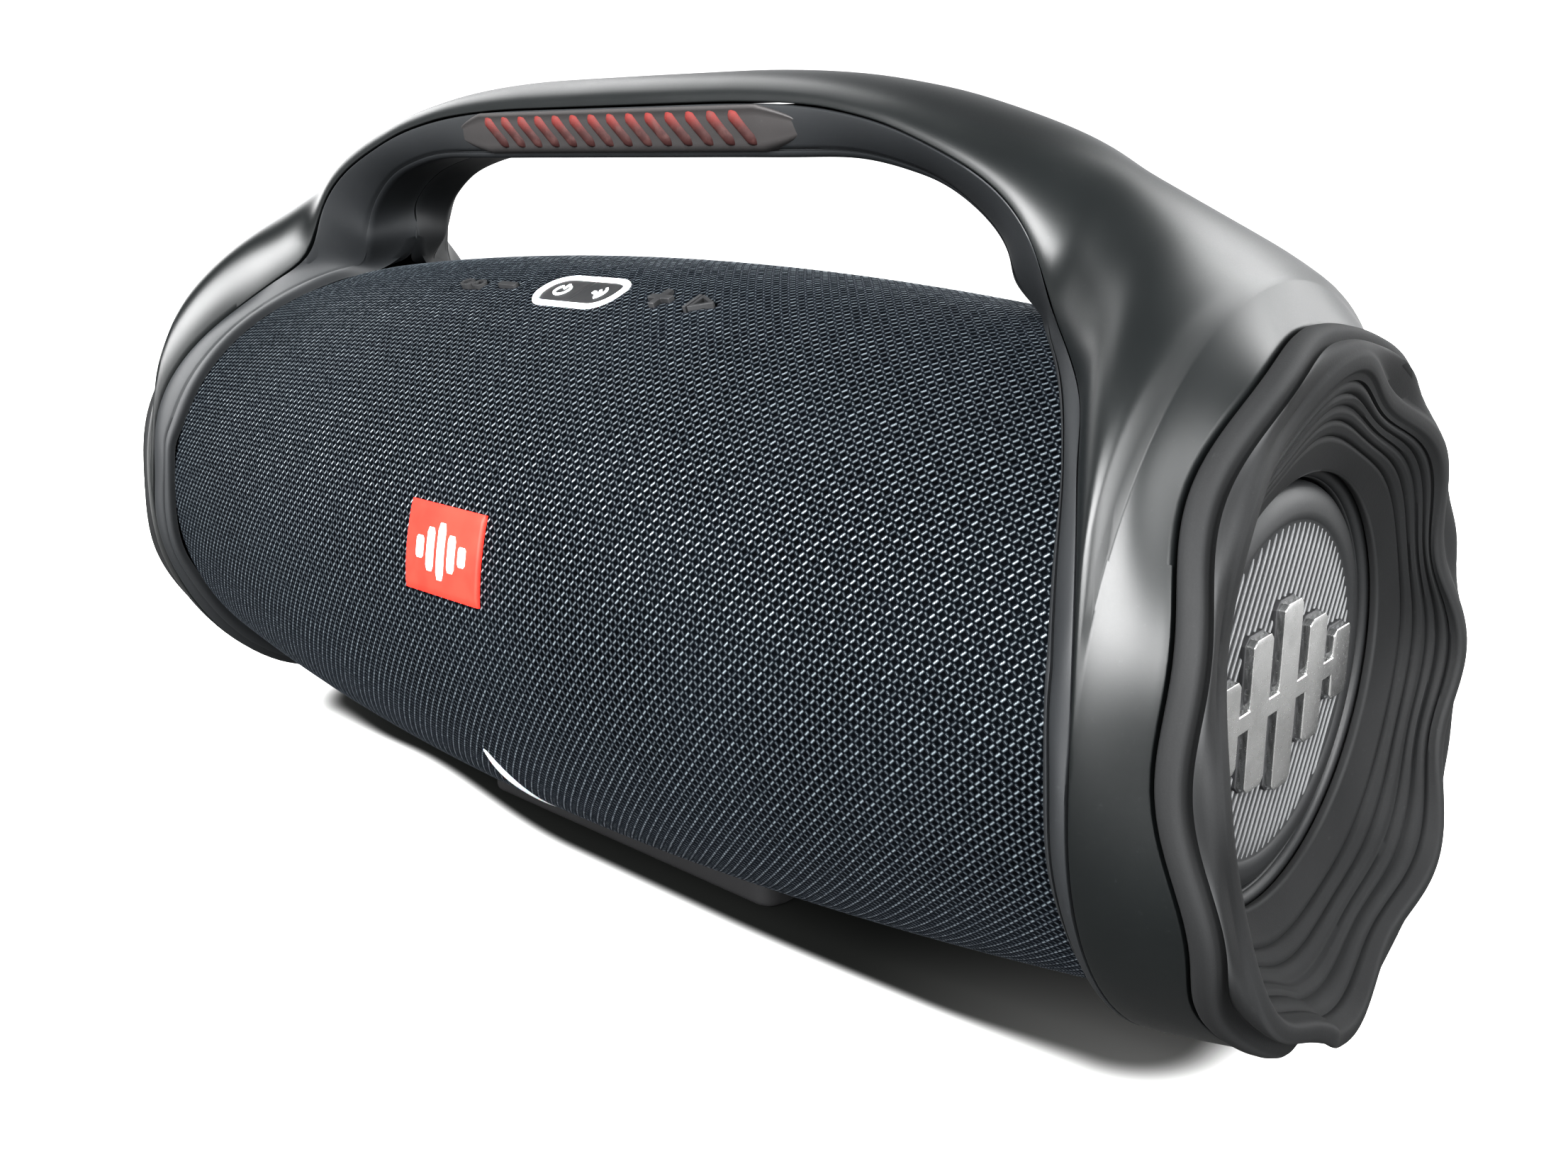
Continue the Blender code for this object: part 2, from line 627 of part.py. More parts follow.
# ---------------------------------------------------------------- drivers on the front
# Turned profiles: radius, y.
WOOFER_FRAME = [(51, -70), (51, -67.6), (47, -67), (25, -38.5), (25, -35), (13.5, -35),
                (13.5, -37), (22.5, -37), (44.6, -68), (44.6, -70)]
WOOFER_MOTOR = [(0, -34.6), (20, -34.6), (34, -33), (34, -16), (30, -14), (0, -14)]
WOOFER_CONE = [(0, -58.5), (9, -57), (13, -54.5), (40.5, -72.5), (41.5, -71), (13.2, -52),
               (12, -40.5), (10.4, -40.5), (10.2, -53), (0, -55.5)]
WOOFER_SURROUND = [(42.3, -71.6), (45.5, -74.6), (49, -72.4), (50.6, -72.2),
                   (50.6, -70.4), (48.5, -70.4), (45.5, -72.4), (42.3, -70.4)]
TWEETER = [(0, -81.8), (5, -80.8), (8.5, -78.8), (14.5, -78.6), (14.5, -76.5),
           (11.5, -76.5), (11.5, -62), (0, -62)]


def woofer(tag, x):
    for part, profile, mat, origin_y in (("frame", WOOFER_FRAME, STEEL, 0),
                                         ("motor", WOOFER_MOTOR, FERRITE, 0),
                                         ("cone", WOOFER_CONE, PAPER, -60),
                                         ("surround", WOOFER_SURROUND, RADIATOR, 0)):
        turned(f"woofer_{part}_{tag}", profile, mat, seg=18, at=(x, 0, 0), axis="Y",
               origin=(x, origin_y, 0))


for tag, side in (("left", -1), ("right", 1)):
    woofer(tag, side * WOOFER_X)
    turned("tweeter_" + tag, TWEETER, ABS, seg=14, at=(side * TWEETER_X, 0, 0), axis="Y")

# ---------------------------------------------------------------- badge on the front
BADGE_DEG, BADGE_SPAN = 11.8, 16.0      # middle angle, whole angle
BADGE_HALF = 18
BADGE_BACK, BADGE_FACE = 0.4, 1.9       # above the fabric radius at mid length


def front_badge(steps=6):
    xs = (-BADGE_HALF, 0, BADGE_HALF)
    loops = []
    for k in range(steps + 1):
        deg = BADGE_DEG - BADGE_SPAN / 2 + BADGE_SPAN * k / steps
        back = [at_angle(x, BARREL_R + BADGE_BACK, deg) for x in xs]
        face = [at_angle(x, BARREL_R + BADGE_FACE, deg) for x in xs[::-1]]
        loops.append(back + face)
    loft("front_badge", loops, RED)


front_badge()

# ---------------------------------------------------------------- top controls
ROW_X, ROW_DEG = -2.0, 68.5     # middle of the button row
KEY_DEPTH, KEY_PROUD = 9.6, 0.9     # foot below and face above the fabric
FLANGE_T, FLANGE_W = 1.8, 1.5
KEY_CLEARANCE = 0.5


def plus_outline(arm, half):
    return [(arm, -half), (arm, half), (half, half), (half, arm), (-half, arm),
            (-half, half), (-arm, half), (-arm, -half), (-half, -half), (-half, -arm),
            (half, -arm), (half, -half)]


TRIANGLE = [(-4.0, -4.6), (4.6, -0.6), (4.6, 0.6), (-4.0, 4.6), (-4.9, 4.0), (-4.9, -4.0)]
SMALL_KEYS = (      # name, x from the middle of the row, outline
    ("button_link", -55.5, rounded(12.0, 5.2, 2.4, 3)),
    ("button_volume_down", -36.5, rounded(9.0, 2.4, 1.0, 2)),
    ("button_volume_up", 36.5, plus_outline(4.6, 1.25)),
    ("button_play", 54.0, TRIANGLE),
)


def small_key(name, row_x, outline):
    """Flanged key, with its holes through the sleeve and the enclosure."""
    x = ROW_X + row_x
    axes = skin_frame(x, ROW_DEG)
    surface = barrel_r(x)
    foot = surface - KEY_DEPTH
    flange = grow(outline, FLANGE_W)
    levels = ((flange, foot), (flange, foot + FLANGE_T), (outline, foot + FLANGE_T),
              (outline, surface + KEY_PROUD))
    loft(name, [place(axes, shape, height) for shape, height in levels], KEY,
         origin=in_frame(axes, 0, 0, surface))
    hole = grow(outline, KEY_CLEARANCE)
    for host, low, high in ((sleeve, -5.0, 8.0), (enclosure_front, -12.0, 2.0)):
        cut(host, prism(f"{name}_hole_{host.name}", hole, surface + low, surface + high,
                        KEY, axes))


for key_spec in SMALL_KEYS:
    small_key(*key_spec)

# Pill-shaped light ring round a pair of keys; heights are radii from the barrel's axis.
PILL_W, PILL_H, PILL_R = 37.4, 18.8, 8.6
LIGHT_W = 2.0                       # width of the light ring
LIGHT_LOW, LIGHT_HIGH = 91.6, 97.9
PAIR_LOW, PAIR_HIGH = 89.0, 97.7
PAIR_X = 10.5                       # origins of the two keys from the middle
SPLIT_HALF, SPLIT_REACH = 0.22, 7.25    # half the slit between them; corners beside it
PILL_CLEARANCE = 0.4
PILL_AXES = skin_frame(ROW_X, ROW_DEG)


def pill(inset):
    return rounded(PILL_W - 2 * inset, PILL_H - 2 * inset, PILL_R - inset, 4)


def light_ring():
    loops = []
    for outer, inner in zip(pill(0.0), pill(LIGHT_W)):
        corners = ((outer, LIGHT_LOW), (outer, LIGHT_HIGH), (inner, LIGHT_HIGH),
                   (inner, LIGHT_LOW))
        loops.append([in_frame(PILL_AXES, u, v, height) for (u, v), height in corners])
    loft("light_ring", loops, WHITE, ring=True)


def pill_keys():
    key = pill(LIGHT_W + GAP)       # four corners of five points each
    left = [(-SPLIT_HALF, SPLIT_REACH)] + key[5:15] + [(-SPLIT_HALF, -SPLIT_REACH)]
    right = [(SPLIT_HALF, -SPLIT_REACH)] + key[15:] + key[:5] + [(SPLIT_HALF, SPLIT_REACH)]
    for name, outline, x in (("button_power", left, -PAIR_X),
                             ("button_wireless", right, PAIR_X)):
        prism(name, outline, PAIR_LOW, PAIR_HIGH, KEY, PILL_AXES,
              origin=in_frame(PILL_AXES, x, 0, PAIR_HIGH))


light_ring()
pill_keys()
for name, host, low, high in (("pill_hole_sleeve", sleeve, 94.5, 104),
                              ("pill_hole_enclosure", enclosure_front, 88, 95.6)):
    cut(host, prism(name, pill(-PILL_CLEARANCE), low, high, KEY, PILL_AXES))
prism("button_board", rounded(128, 15, 2, 2), 82.8, 84.4, PCB, PILL_AXES,
      origin=in_frame(PILL_AXES, 0, 0, 85))

# ---------------------------------------------------------------- charge indicator, low front
LENS_X, LENS_DEG = -7.0, -43.0
LENS_SPAN = 13.0        # half the angle it covers
LENS_SKEW = 2.2         # x shift from its middle to either end
LENS_TIP, LENS_SWELL = 0.5, 3.2     # half width at the tips, and what the middle adds


def lens(name, margin, low_r, high_r, stations=9):
    loops = []
    for k in range(stations):
        t = -1 + 2 * k / (stations - 1)
        deg = LENS_DEG + LENS_SPAN * t + math.degrees(margin / BARREL_R) * t
        half = LENS_TIP + LENS_SWELL * (1 - t * t) + margin
        middle = LENS_X + LENS_SKEW * t
        corners = ((middle - half, low_r), (middle + half, low_r),
                   (middle + half, high_r), (middle - half, high_r))
        loops.append([at_angle(x, radius, deg) for x, radius in corners])
    return loft(name, loops, WHITE)


lens("indicator_lens", 0.0, 95.85, 97.9)
cut(sleeve, lens("indicator_slot", 0.5, 94.0, 100.0))


# ---------------------------------------------------------------- base foot under the belly
def base_foot(steps=6):
    loops = []
    for x in (-72, -66, -33, 0, 33, 66, 72):
        half = 36.0 if abs(x) < 70 else 31.0
        radius = barrel_r(x) + 0.6
        loop = [(x, -half + 2, -AXIS_Z), (x, half - 2, -AXIS_Z)]
        for k in range(steps + 1):
            y = half - 2 * half * k / steps
            loop.append((x, y, -math.sqrt(radius * radius - y * y)))
        loops.append(loop)
    loft("base_foot", loops, BUMPER)


base_foot()

# ---------------------------------------------------------------- grip panels on the handle
# x, half height, how far the face stands out
GRIP_STATIONS = [(0, 6.3, 3.0), (30, 6.3, 3.0), (58, 6.3, 3.0), (66, 5.0, 2.3),
                 (71, 3.2, 1.5)]
GRIP_Y, GRIP_Z = -20.0, 138.2       # middle of the front panel
GRIP_FOOT, GRIP_BEVEL, GRIP_CROWN = 1.15, 0.6, 0.5


def grip_panel(name, side):
    up = unit(np.array([0, -4.0, 15.5]))
    out = unit(np.array([0, -15.5, -4.0]))
    loops = []
    for x, half, depth in [(-x, h, d) for x, h, d in GRIP_STATIONS[:0:-1]] + GRIP_STATIONS:
        centre = np.array([x, GRIP_Y, GRIP_Z])
        face_half = half - GRIP_BEVEL
        section = ((half, GRIP_FOOT), (face_half, depth), (0, depth + GRIP_CROWN),
                   (-face_half, depth), (-half, GRIP_FOOT))
        points = [centre + up * rise + out * reach for rise, reach in section]
        loops.append([(x, -side * y, z) for x, y, z in points])
    loft(name, loops, GRIP)


grip_panel("grip_front", -1)
grip_panel("grip_rear", 1)

# ---------------------------------------------------------------- rear port bay
DOOR_HALF_X, DOOR_HALF_Z = 55.0, 16.0
DOOR_INSET = 0.4
DOOR_BACK, DOOR_FACE = -4.0, -0.1       # from the fabric surface
HINGE_Y, HINGE_Z = 95.9, -15.7


def port_door(steps=4):
    half_x, half_z = DOOR_HALF_X - DOOR_INSET, DOOR_HALF_Z - DOOR_INSET
    zs = [-half_z + 2 * half_z * k / steps for k in range(steps + 1)]
    loops = []
    for x in (-half_x, -DOOR_HALF_X / 2, 0, DOOR_HALF_X / 2, half_x):
        face, back = barrel_r(x) + DOOR_FACE, barrel_r(x) + DOOR_BACK
        loop = [(x, math.sqrt(face ** 2 - z * z), z) for z in zs]
        loop += [(x, math.sqrt(back ** 2 - z * z), z) for z in zs[::-1]]
        loops.append(loop)
    loft("port_door", loops, TRIM, origin=(0, HINGE_Y, HINGE_Z))


def door_box(name, margin, y0, y1):
    """Box of the door's size plus a margin all round, from y0 to y1."""
    half_x, half_z = DOOR_HALF_X + margin, DOOR_HALF_Z + margin
    return box(name, (-half_x, y0, -half_z), (half_x, y1, half_z), ABS)


def usb_socket(name, x):
    socket = box(name, (x - 7.2, 80.4, -3.6), (x + 7.2, 86.6, 3.6), STEEL)
    cut(socket, box(name + "_mouth", (x - 6.4, 82.2, -2.8), (x + 6.4, 92, 2.8), STEEL))
    cut(socket, box(name + "_tongue_hold", (x - 5.0, 70, -1.0), (x + 5.0, 84, 0.2), STEEL))


# Turned profiles: radius, y.
DC_JACK = [(2.6, 80.4), (5.8, 80.4), (5.8, 87.2), (5.2, 87.6), (3.4, 87.6), (3.4, 82.0),
           (2.6, 82.0)]
AUX_JACK = [(1.2, 80.4), (4.4, 80.4), (4.4, 86.4), (3.9, 86.8), (1.9, 86.8), (1.9, 82.0),
            (1.2, 82.0)]

port_door()
cut(sleeve, door_box("door_opening", 0.2, 80, 110))
cut(enclosure_rear, door_box("bay_opening", 2.6, 70, 110))
cut(door_box("port_bay", 2, 78, 92.2), door_box("bay_hollow", 0.5, 80, 100))
turned("dc_jack", DC_JACK, ABS, seg=14, at=(-38, 0, 0), axis="Y")
turned("aux_jack", AUX_JACK, ABS, seg=14, at=(-18, 0, 0), axis="Y")
usb_socket("usb_socket_1", 8)
usb_socket("usb_socket_2", 33)


# ---------------------------------------------------------------- battery and main board
def battery():
    pack = box("battery_pack", (-72, 14, -46), (72, 58, 6), CELL)
    bevel = pack.modifiers.new("edge", "BEVEL")
    bevel.width = 3.0 * MM
    bevel.segments = 1
    bevel.limit_method = "ANGLE"
    tray = box("battery_tray", (-80, 9, -52), (80, 63, -42), ABS)
    cut(tray, box("tray_hollow", (-72.8, 13.2, -46.6), (72.8, 58.8, -30), ABS))


battery()
box("main_board", (-100, 64, -38), (100, 65.6, 46), PCB)

# ---------------------------------------------------------------- heat sink
FIN_X, FIN_PITCH, FIN_COUNT, FIN_T = 84.0, 7.0, 7, 2.4
FIN_TIP_Y, FIN_ROOT_Y, SINK_BACK_Y = 22.0, 57.0, 63.4
SINK_HALF_Z = 28


def heat_sink():
    """Comb with its fins pointing to the front."""
    fins = []
    for k in range(FIN_COUNT):
        x = FIN_X + FIN_PITCH * k
        fins += [(x, FIN_ROOT_Y), (x, FIN_TIP_Y), (x + FIN_T, FIN_TIP_Y),
                 (x + FIN_T, FIN_ROOT_Y)]
    # the outermost fins run straight into the sides of the back plate
    outline = [(FIN_X, SINK_BACK_Y)] + fins[1:-1] + [(fins[-1][0], SINK_BACK_Y)]
    prism("heat_sink", outline, -SINK_HALF_Z, SINK_HALF_Z, ALUMINIUM, UPRIGHT,
          origin=(106, 45, 0))


heat_sink()


# ---------------------------------------------------------------- cable
def board_cable(radius=1.7, steps=8, seg=8):
    """Round cable arching up from the main board and forwards."""
    path = []
    for k in range(steps + 1):
        t = k / steps
        height = 49 + 52 * math.sin(math.pi * t * 0.52) - 22 * t * t
        path.append(np.array([44 + 10 * t, 61.5 - 78 * t, height]))
    loops = []
    for i, centre in enumerate(path):
        along = unit(path[min(i + 1, steps)] - path[max(i - 1, 0)])
        across = unit(np.cross(along, (1.0, 0.0, 0.0)))
        third = np.cross(along, across)
        loops.append([centre + across * a + third * b for a, b in circle(radius, seg)])
    loft("board_cable", loops, CABLE)


board_cable()
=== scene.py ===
"""Portable speaker with a carry handle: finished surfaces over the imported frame.

+X runs along the barrel, the front faces -Y and +Z is up. Geometry is worked out in
millimetres about the barrel's axis, which lies 100 mm above the ground. Angles round the
barrel are in degrees: 0 at the front, 90 at the top, -90 at the bottom.
"""
import math

import bmesh
import bpy
import numpy as np
from mathutils import Matrix, Vector

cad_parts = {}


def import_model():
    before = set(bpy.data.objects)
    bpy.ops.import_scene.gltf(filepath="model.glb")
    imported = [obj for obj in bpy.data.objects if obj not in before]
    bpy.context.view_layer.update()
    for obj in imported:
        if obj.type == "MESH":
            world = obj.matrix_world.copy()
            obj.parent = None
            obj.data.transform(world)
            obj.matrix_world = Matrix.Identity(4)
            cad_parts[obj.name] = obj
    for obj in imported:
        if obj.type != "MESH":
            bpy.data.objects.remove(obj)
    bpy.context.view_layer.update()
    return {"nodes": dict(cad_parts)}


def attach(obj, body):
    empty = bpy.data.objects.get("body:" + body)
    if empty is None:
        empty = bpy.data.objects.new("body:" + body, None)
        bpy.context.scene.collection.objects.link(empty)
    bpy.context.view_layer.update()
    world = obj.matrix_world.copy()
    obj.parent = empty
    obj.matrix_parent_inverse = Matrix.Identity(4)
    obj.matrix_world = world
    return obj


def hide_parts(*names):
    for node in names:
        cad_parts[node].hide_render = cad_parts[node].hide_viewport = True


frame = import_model()

MM = 0.001
AXIS_Z = 100.0
# the barrel's radius falls by BARREL_DROP from its middle to x = DROP_X
BARREL_R, BARREL_DROP, DROP_X = 97.5, 11.0, 170.0
SHELL_T = 2.6
# end rings: radius and x where they leave the arch, and at their outer rim
RING_ROOT_X, RING_RIM_X = 210.0, 226.5
RING_ROOT_R, RING_RIM_R = 87.5, 81.0
RING_FLAT, RING_LOW = 88.6, 90.0        # depth of the flat underside, and of the curve it cuts
LOBES, LOBE_DEG, WAVE_X = 8, 2.0, -1.9  # waves round the rim: count, place, height along x
RING_LEAN, LIP_LEAN = 5.0, 9.5
LIP_X, LIP_R, LIP_TALL, LIP_WAVE = 240.5, 72.8, 10.0, 2.6
FUNNEL_R, FUNNEL_X = 56.5, 219.0
GAP, LAND = 0.35, 0.75                  # parting gap, and clearance over the fabric
LINER_LIFT = 3.4                        # height of the liner's corner over the barrel
BUTTON_DEG, ROW_X = 68.5, -2.0
BADGE_DEG = 11.8
DOOR_X, DOOR_Z = 55.0, 16.0             # half sizes of the port door's opening

# Crest of the handle: x and height
CREST_X = [0, 44, 64, 84, 97, 109, 121, 132, 144, 155, 170, 185, 200, 215, 232]
CREST_Z = [154.5, 154.4, 153.7, 152, 150, 147.8, 144.8, 141.6, 137.8, 133.6, 126, 117.8,
           108.6, 98.6, 88]
# Lower edge of the shell: x, height and distance from the middle plane
EDGE_X = [0, 45, 65, 85, 97, 109, 121, 132, 144, 155, 162.5, 167.5, 176, 186, 196, 201,
          207, 210]
EDGE_Z = [145.5, 145.5, 145, 143.6, 141.6, 139, 135, 130.8, 125, 116.5, 105.5, 95, 87.5,
          78.5, 64.5, 55, 36, 0]
EDGE_Y = [22, 22, 22.2, 23, 24, 25, 26, 27, 28, 29.3, 30.6, 32.5, 39, 49, 65.5, 73.2,
          82.5, 87.5]
# Corner of the liner under the handle: x, height and distance from the middle plane
CORNER_X = [0, 45, 70, 92, 104, 115, 126, 136, 143.5, 147.5]
CORNER_Z = [130, 130, 130, 129.8, 128.6, 126, 122, 115.8, 107, 97.5]
CORNER_Y = [18, 18, 18, 18, 18, 18, 17.6, 17.2, 17, 17]
# Rim of the liner on the barrel: degrees below the front (the top is -90) and x
RIM_BELOW = [-90, -84, -77, -72, -67, -62, -57, -53, -46, -37, -29, -22, -13, 0, 40, 90]
RIM_X = [141.5, 150, 158.5, 164.5, 170.4, 175.6, 180, 183.6, 188.6, 193, 196, 198.4,
         200.4, 202, 203, 203]


# ================================================================ maths
def barrel_radius(x):
    return BARREL_R - BARREL_DROP * (np.asarray(x, float) / DROP_X) ** 2


def unit(vector):
    return vector / max(np.linalg.norm(vector), 1e-9)


def spline(xs, ys, x):
    """Monotone cubic through the control points."""
    xs, ys = np.asarray(xs, float), np.asarray(ys, float)
    span = np.diff(xs)
    slope = np.diff(ys) / span
    tangent = np.zeros(len(xs))
    tangent[0], tangent[-1] = slope[0], slope[-1]
    for i in range(1, len(xs) - 1):
        if slope[i - 1] * slope[i] > 0:
            before = 2 * span[i] + span[i - 1]
            after = span[i] + 2 * span[i - 1]
            tangent[i] = (before + after) / (before / slope[i - 1] + after / slope[i])
    x = np.clip(np.asarray(x, float), xs[0], xs[-1])
    k = np.clip(np.searchsorted(xs, x, side="right") - 1, 0, len(span) - 1)
    part = (x - xs[k]) / span[k]
    rest = 1 - part
    return (ys[k] * (1 + 2 * part) * rest ** 2 + span[k] * tangent[k] * part * rest ** 2
            + ys[k + 1] * part * part * (3 - 2 * part)
            + span[k] * tangent[k + 1] * part * part * (part - 1))


def smooth_table(xs, ys, x, window):
    """The control curve averaged over a window, so that its curvature runs on evenly."""
    offsets = np.linspace(-1, 1, 9)
    weights = 1 - offsets * offsets * 0.8
    total = 0
    for offset, weight in zip(offsets, weights):
        total = total + weight * spline(xs, ys, np.asarray(x, float) + offset * window)
    return float(total / weights.sum())


def ring_yz(radius, deg):
    angle = math.radians(deg)
    return -radius * math.cos(angle), radius * math.sin(angle)


def over_barrel(x, lift, deg):
    """Point at the given height over the barrel's surface."""
    return (x, *ring_yz(float(barrel_radius(x)) + lift, deg))


def ring_share(x):
    """0 where an end ring leaves the arch, 1 at its rim."""
    return max(0.0, (x - RING_ROOT_X) / (RING_RIM_X - RING_ROOT_X))


def ring_radius(x):
    part = min(1.0, ring_share(x))
    return RING_ROOT_R + (RING_RIM_R - RING_ROOT_R) * part * part * (1.6 - 0.6 * part)


def degrees_at(y, z):
    return math.degrees(math.atan2(z, -y))


def wave(deg):
    return math.cos(math.radians(LOBES * (deg - LOBE_DEG)))


def lean(height):
    """0 on the ring's underside up to 1.05 at its top; height is a share of the radius."""
    return max(0.0, 0.5 + 0.55 * height)


def end_shift(y, z):
    """How far a ring's rim stands out: in at the top, out below and at the front's middle."""
    height = z / math.hypot(y, z)
    swell = 4.5 * math.exp(-((degrees_at(y, z) + 15.0) / 42.0) ** 2)
    return -RING_LEAN * lean(height) - 4.0 * height + swell


def skin_frame(x, deg):
    """Origin on the axis, then directions along +X, up round the barrel and outwards."""
    angle = math.radians(deg)
    cos, sin = math.cos(angle), math.sin(angle)
    return (np.array((x, 0.0, 0.0)), np.array((1.0, 0, 0)), np.array((0, sin, cos)),
            np.array((0, -cos, sin)))


def place(axes, x, y, height):
    """Point at x, y and height in a frame of an origin and three directions."""
    origin, along, up, out = axes
    return origin + along * x + up * y + out * height


def rounded(width, height, radius, steps=6):
    """Rounded rectangle, anticlockwise."""
    points = []
    for corner, (right, top) in enumerate(((1, 1), (-1, 1), (-1, -1), (1, -1))):
        for i in range(steps + 1):
            angle = math.radians(90 * corner + 90 * i / steps)
            points.append((right * (width / 2 - radius) + radius * math.cos(angle),
                           top * (height / 2 - radius) + radius * math.sin(angle)))
    return points


def grow(outline, distance):
    """Outline moved outwards along its corner normals; outlines run anticlockwise."""
    grown = []
    for i in range(len(outline)):
        before, here = np.array(outline[i - 1], float), np.array(outline[i], float)
        after = np.array(outline[(i + 1) % len(outline)], float)
        edge_in, edge_out = unit(here - before), unit(after - here)
        normal_in = np.array([edge_in[1], -edge_in[0]])
        corner = normal_in + np.array([edge_out[1], -edge_out[0]])
        corner = corner / max(0.35, float(np.dot(corner, normal_in)))
        grown.append(tuple(here + corner * distance))
    return grown


def refine(outline, step):
    """The same closed outline with its edges split to at most step."""
    points = []
    for i in range(len(outline)):
        start = np.array(outline[i], float)
        end = np.array(outline[(i + 1) % len(outline)], float)
        count = max(1, int(math.ceil(np.linalg.norm(end - start) / step)))
        points += [tuple(start + (end - start) * j / count) for j in range(count)]
    return points


# ================================================================ mesh helpers
def world(points):
    """Millimetres about the barrel's axis to metres above the ground."""
    points = np.array(points, float) * MM
    points[:, 2] += AXIS_Z * MM
    return points


def link_object(name, data):
    ob = bpy.data.objects.new(name, data)
    bpy.context.scene.collection.objects.link(ob)
    return ob


def build(name, verts, faces, material, body="body", replaces=None, slot=None, bevel=0.0,
          segs=2, angle=35):
    """Welded, smooth-shaded object that rides on a body of the frame."""
    mesh = bpy.data.meshes.new(name)
    mesh.from_pydata(world(verts).tolist(), [], [tuple(int(i) for i in f) for f in faces])
    bm = bmesh.new()
    bm.from_mesh(mesh)
    bmesh.ops.remove_doubles(bm, verts=bm.verts, dist=2e-6)
    big = [f for f in bm.faces if len(f.verts) > 4]
    if big:
        bmesh.ops.triangulate(bm, faces=big)
    bmesh.ops.recalc_face_normals(bm, faces=bm.faces)
    if bm.calc_volume(signed=True) < 0:
        bmesh.ops.reverse_faces(bm, faces=bm.faces)
    bm.to_mesh(mesh)
    bm.free()
    mesh.materials.append(MATERIALS[material])
    mesh.shade_smooth()
    ob = link_object(name, mesh)
    if bevel:
        edge = ob.modifiers.new("edge", "BEVEL")
        edge.width = bevel * MM
        edge.segments = segs
        edge.limit_method = "ANGLE"
        edge.angle_limit = math.radians(angle)
        edge.use_clamp_overlap = True
        ob.modifiers.new("normals", "WEIGHTED_NORMAL").keep_sharp = True
    else:
        mesh.set_sharp_from_angle(angle=math.radians(angle))
    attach(ob, body)
    if replaces:
        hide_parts(replaces)


def band(faces, first, second, span=None):
    """Quads between two rows of vertex numbers, closed unless span limits them."""
    for i in span or range(len(first)):
        j = (i + 1) % len(first)
        faces.append((first[i], first[j], second[j], second[i]))


def loft_data(loops, ring=False):
    """Skin over the loops, capped at both ends, or joined end to end as a ring."""
    loops = [np.asarray(loop, float) for loop in loops]
    count, size = len(loops), len(loops[0])
    rows = [range(i * size, (i + 1) * size) for i in range(count)]
    faces = []
    for i in range(count if ring else count - 1):
        band(faces, rows[i], rows[(i + 1) % count])
    if not ring:
        faces += [tuple(rows[0]), tuple(rows[-1][::-1])]
    return np.concatenate(loops), faces


def loft(name, loops, material, ring=False, **options):
    build(name, *loft_data(loops, ring), material, **options)


def turned(name, side, profile, **options):
    """Profile of (radius, x) turned about the barrel's axis at the given end."""
    loops = []
    for i in range(128):
        angle = 2 * math.pi * i / 128
        loops.append([(side * x, r * math.cos(angle), r * math.sin(angle))
                      for r, x in profile])
    loft(name, loops, "disc_rubber_smooth", ring=True, **options)


def prism_loops(outline, low, high, axes):
    return [[place(axes, x, y, height) for x, y in outline] for height in (low, high)]


class Group:
    """Several closed lofts gathered into one object."""

    def __init__(self):
        self.verts, self.faces, self.count = [], [], 0

    def add(self, loops, ring=False):
        verts, faces = loft_data(loops, ring)
        self.verts.append(verts)
        self.faces += [tuple(i + self.count for i in face) for face in faces]
        self.count += len(verts)

    def build(self, name, material, **options):
        build(name, np.concatenate(self.verts), self.faces, material, **options)


# ================================================================ materials
MATERIALS = {}


class Nodes:
    """Short-hand for building a node tree."""

    def __init__(self, tree):
        self.tree = tree
        self.object_coord = None

    def plug(self, socket, value):
        """Link an output into the socket, or set its value."""
        if isinstance(value, bpy.types.NodeSocket):
            self.tree.links.new(value, socket)
        elif socket.type == "RGBA" and len(value) == 3:
            socket.default_value = (*value, 1)
        else:
            socket.default_value = value

    def node(self, kind, inputs=None, **props):
        node = self.tree.nodes.new("ShaderNode" + kind)
        for key, value in props.items():
            setattr(node, key, value)
        for key, value in (inputs or {}).items():
            self.plug(node.inputs[key], value)
        return node

    def math(self, operation, *values, clamp=False):
        inputs = dict(enumerate(values))
        return self.node("Math", inputs, operation=operation, use_clamp=clamp).outputs[0]

    def add(self, first, second):
        return self.math("ADD", first, second)

    def sub(self, first, second, clamp=False):
        return self.math("SUBTRACT", first, second, clamp=clamp)

    def mul(self, first, second, clamp=False):
        return self.math("MULTIPLY", first, second, clamp=clamp)

    def mul_add(self, value, factor, offset):
        return self.math("MULTIPLY_ADD", value, factor, offset)

    def step(self, value, lo, hi, out_lo=0.0, out_hi=1.0):
        """Smooth step from out_lo at lo to out_hi at hi."""
        inputs = dict(enumerate((value, lo, hi, out_lo, out_hi)))
        return self.node("MapRange", inputs, interpolation_type="SMOOTHSTEP").outputs[0]

    def mix(self, factor, first, second):
        inputs = {0: factor, 6: first, 7: second}
        return self.node("Mix", inputs, data_type="RGBA").outputs[2]

    def split(self, vector):
        return self.node("SeparateXYZ", {0: vector}).outputs

    def coord(self):
        if self.object_coord is None:
            self.object_coord = self.node("TexCoord").outputs["Object"]
        return self.object_coord

    def noise(self, size=None, detail=3.0, rough=0.55, vector=None, scale=None, stretch=None):
        """Noise with features about size mm across, or of a bare scale on vector."""
        vector = vector or self.coord()
        if stretch:
            vector = self.node("Mapping", {0: vector, "Scale": stretch}).outputs[0]
        return self.node("TexNoise", {"Vector": vector, "Scale": scale or 1.0 / (size * MM),
                                      "Detail": detail, "Roughness": rough}).outputs[0]


